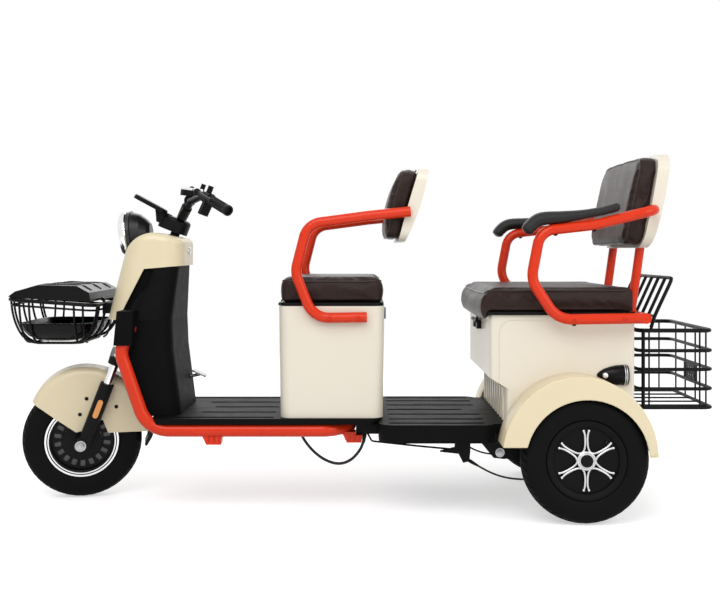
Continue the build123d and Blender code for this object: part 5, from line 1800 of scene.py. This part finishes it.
    def tub(self) -> None:
        """Moulded tub in the front basket, with a rolled lip and rounded foot."""
        (x0, x1), half = self.basket_x, self.basket_half
        loops = [lifted(rounded_corners((x0 + inset, inset - half), (x1 - inset, half - inset),
                                        0.040 + inset * 0.2), z)
                 for inset, z in self.tub_skin]
        mesh = loft("front_basket_tub", loops, 50.0)
        self.shop.add("front_basket_tub", mesh, Coat.GLOSS_BLACK, "frame", "wire_black")

    def lid_beads(self) -> None:
        """Raised beads along the lid's dome and round its edge."""
        edge = lifted(rounded_loop((-1.0905, -0.1835), (-0.8400, 0.1835), 0.010),
                      lambda x: 0.6625 - 0.0135 * (x + 1.090) / 0.250)
        meshes = [pipe("edge", edge, 0.0026, 8, closed=True)]
        for y in (-0.120, 0.0, 0.120):
            meshes.append(pipe("bead", flowing([(x, y, z) for x, z in self.lid_dome]), 0.0022, 8))
        self.shop.gather("lid_beads", meshes, Coat.GLOSS_BLACK, "basket_lid", "wire_black")

    def rear_wires(self) -> None:
        """Thick rounded hoops and corner bars of the rear basket and its back panel."""
        levels, half = self.hoop_levels, self.back_half
        meshes = []
        for z in levels:
            inset, radius = (0.0055, 0.0066) if z == levels[0] else (0.0035, self.hoop_radius)
            hoop = rounded_loop((0.864, inset - 0.214), (1.096 - inset, 0.214 - inset), 0.026)
            meshes.append(pipe("hoop", lifted(hoop, z), radius, 12, closed=True))
        for side in (-1, 1):
            bar = [Vector((0.878, side * 0.2100, z)) for z in reversed(levels)]
            meshes.append(pipe("bar", bar, self.hoop_radius, 12))
        left = [(x, inset - half, z) for x, inset, z in self.back_rise] + [(0.9680, -0.10, 0.7220)]
        right = [(x, -y, z) for x, y, z in reversed(left)]
        meshes.append(pipe("hoop", flowing(left + right), self.hoop_radius, 12))
        for y in (-0.140, -0.070, 0.0, 0.070, 0.140):
            slat = [Vector((0.9140, y, 0.6040)), Vector((0.9410, y, 0.6630)),
                    Vector((0.9680, y, 0.7220))]
            meshes.append(pipe("slat", slat, 0.0052, 12))
        cross = [Vector((0.9140, y, 0.6040)) for y in (-half, -0.1, 0.0, 0.1, half)]
        meshes.append(pipe("cross", cross, 0.0048, 12))
        self.shop.gather("rear_hoops", meshes, Coat.WIRE, "frame", "wire_black")


# Studio

@dataclass
class Studio:
    """Camera, lights and white surroundings."""

    camera_at: Point = (0.003, -3.30, 0.809)
    lens: float = 50.0
    shift_y: float = -0.0736
    world_strength: float = 0.62
    key_power: float = 62.0
    floor_glow: float = 0.50
    white: tuple[float, float, float, float] = (1.0, 1.0, 1.0, 1.0)

    def build(self) -> None:
        """Makes the camera, lights, floor and world."""
        self.camera()
        self.world()
        self.floor()
        self.area("key", (-0.6, -2.6, 3.0), (0.0, 0.0, 0.4), 2.4, self.key_power)
        self.area("fill", (2.6, -2.2, 1.8), (0.2, 0.0, 0.5), 2.0, self.key_power * 0.45)
        self.area("back", (-0.5, 2.8, 2.6), (0.0, 0.0, 0.5), 2.6, self.key_power * 0.5)

    def camera(self) -> None:
        """Level camera on the left side."""
        data = bpy.data.cameras.new("camera")
        data.lens = self.lens
        data.shift_y = self.shift_y
        data.clip_end = 60.0
        camera = linked("camera", data)
        camera.location = self.camera_at
        camera.rotation_euler = (math.pi / 2, 0.0, 0.0)
        bpy.context.scene.camera = camera

    def area(self, name: str, spot: Point, target: Point, size: float, power: float) -> None:
        """Square area light aimed at a target.

        Args:
            name: name of the light.
            spot: where it stands.
            target: the point it faces.
            size: its side in metres.
            power: its power in watts.
        """
        data = bpy.data.lights.new(name, "AREA")
        data.size = size
        data.energy = power
        lamp = linked(name, data)
        lamp.location = spot
        lamp.rotation_euler = (Vector(target) - Vector(spot)).to_track_quat("-Z", "Y").to_euler()

    def world(self) -> None:
        """Soft light, seen as white."""
        world = bpy.data.worlds.new("studio")
        bpy.context.scene.world = world
        net = Net(world)
        seen, glossy, through = net.rays("Is Camera Ray", "Is Glossy Ray", "Is Transmission Ray")
        strength = net.level(seen + glossy + through, 0.0, 1.0, self.world_strength, 1.0)
        light = net.out("ShaderNodeBackground", None, {"Color": self.white, "Strength": strength})
        net.node("ShaderNodeOutputWorld", None, {"Surface": light})

    def floor(self) -> None:
        """White floor that keeps the shadow."""
        work = bmesh.new()
        bmesh.ops.create_grid(work, x_segments=1, y_segments=1, size=12.0)
        mesh = bpy.data.meshes.new("floor")
        work.to_mesh(mesh)
        work.free()
        floor = linked("floor", mesh)
        floor.location.z = -0.0005
        material = bpy.data.materials.new("floor_white")
        net = Net(material)
        seen, glossy = net.rays("Is Camera Ray", "Is Glossy Ray")
        matt = net.out("ShaderNodeBsdfDiffuse", None, {"Color": (0.80, 0.80, 0.80, 1.0)})
        glow = net.out("ShaderNodeEmission", None,
                       {"Color": self.white, "Strength": self.floor_glow})
        both = net.out("ShaderNodeAddShader", None, {0: matt, 1: glow})
        mask = net.level(seen + glossy, 0.0, 1.0, 0.0, 1.0)
        mixed = net.out("ShaderNodeMixShader", None, {0: mask, 1: matt, 2: both})
        net.node("ShaderNodeOutputMaterial", None, {"Surface": mixed})
        mesh.materials.append(material)


def main() -> None:
    """Dresses the whole tricycle."""
    logging.basicConfig(level=logging.INFO, format="%(name)s: %(message)s")
    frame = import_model()
    bpy.context.scene.view_settings.view_transform = "Standard"
    shop = Workshop(frame)
    Studio().build()
    for group in (Cables, Wheels, Steering, FrameAndDecks, Seats, LampsAndBaskets):
        LOG.info("building %s", group.__name__)
        group(shop).build()
    bpy.context.view_layer.update()


if __name__ == "__main__":
    main()
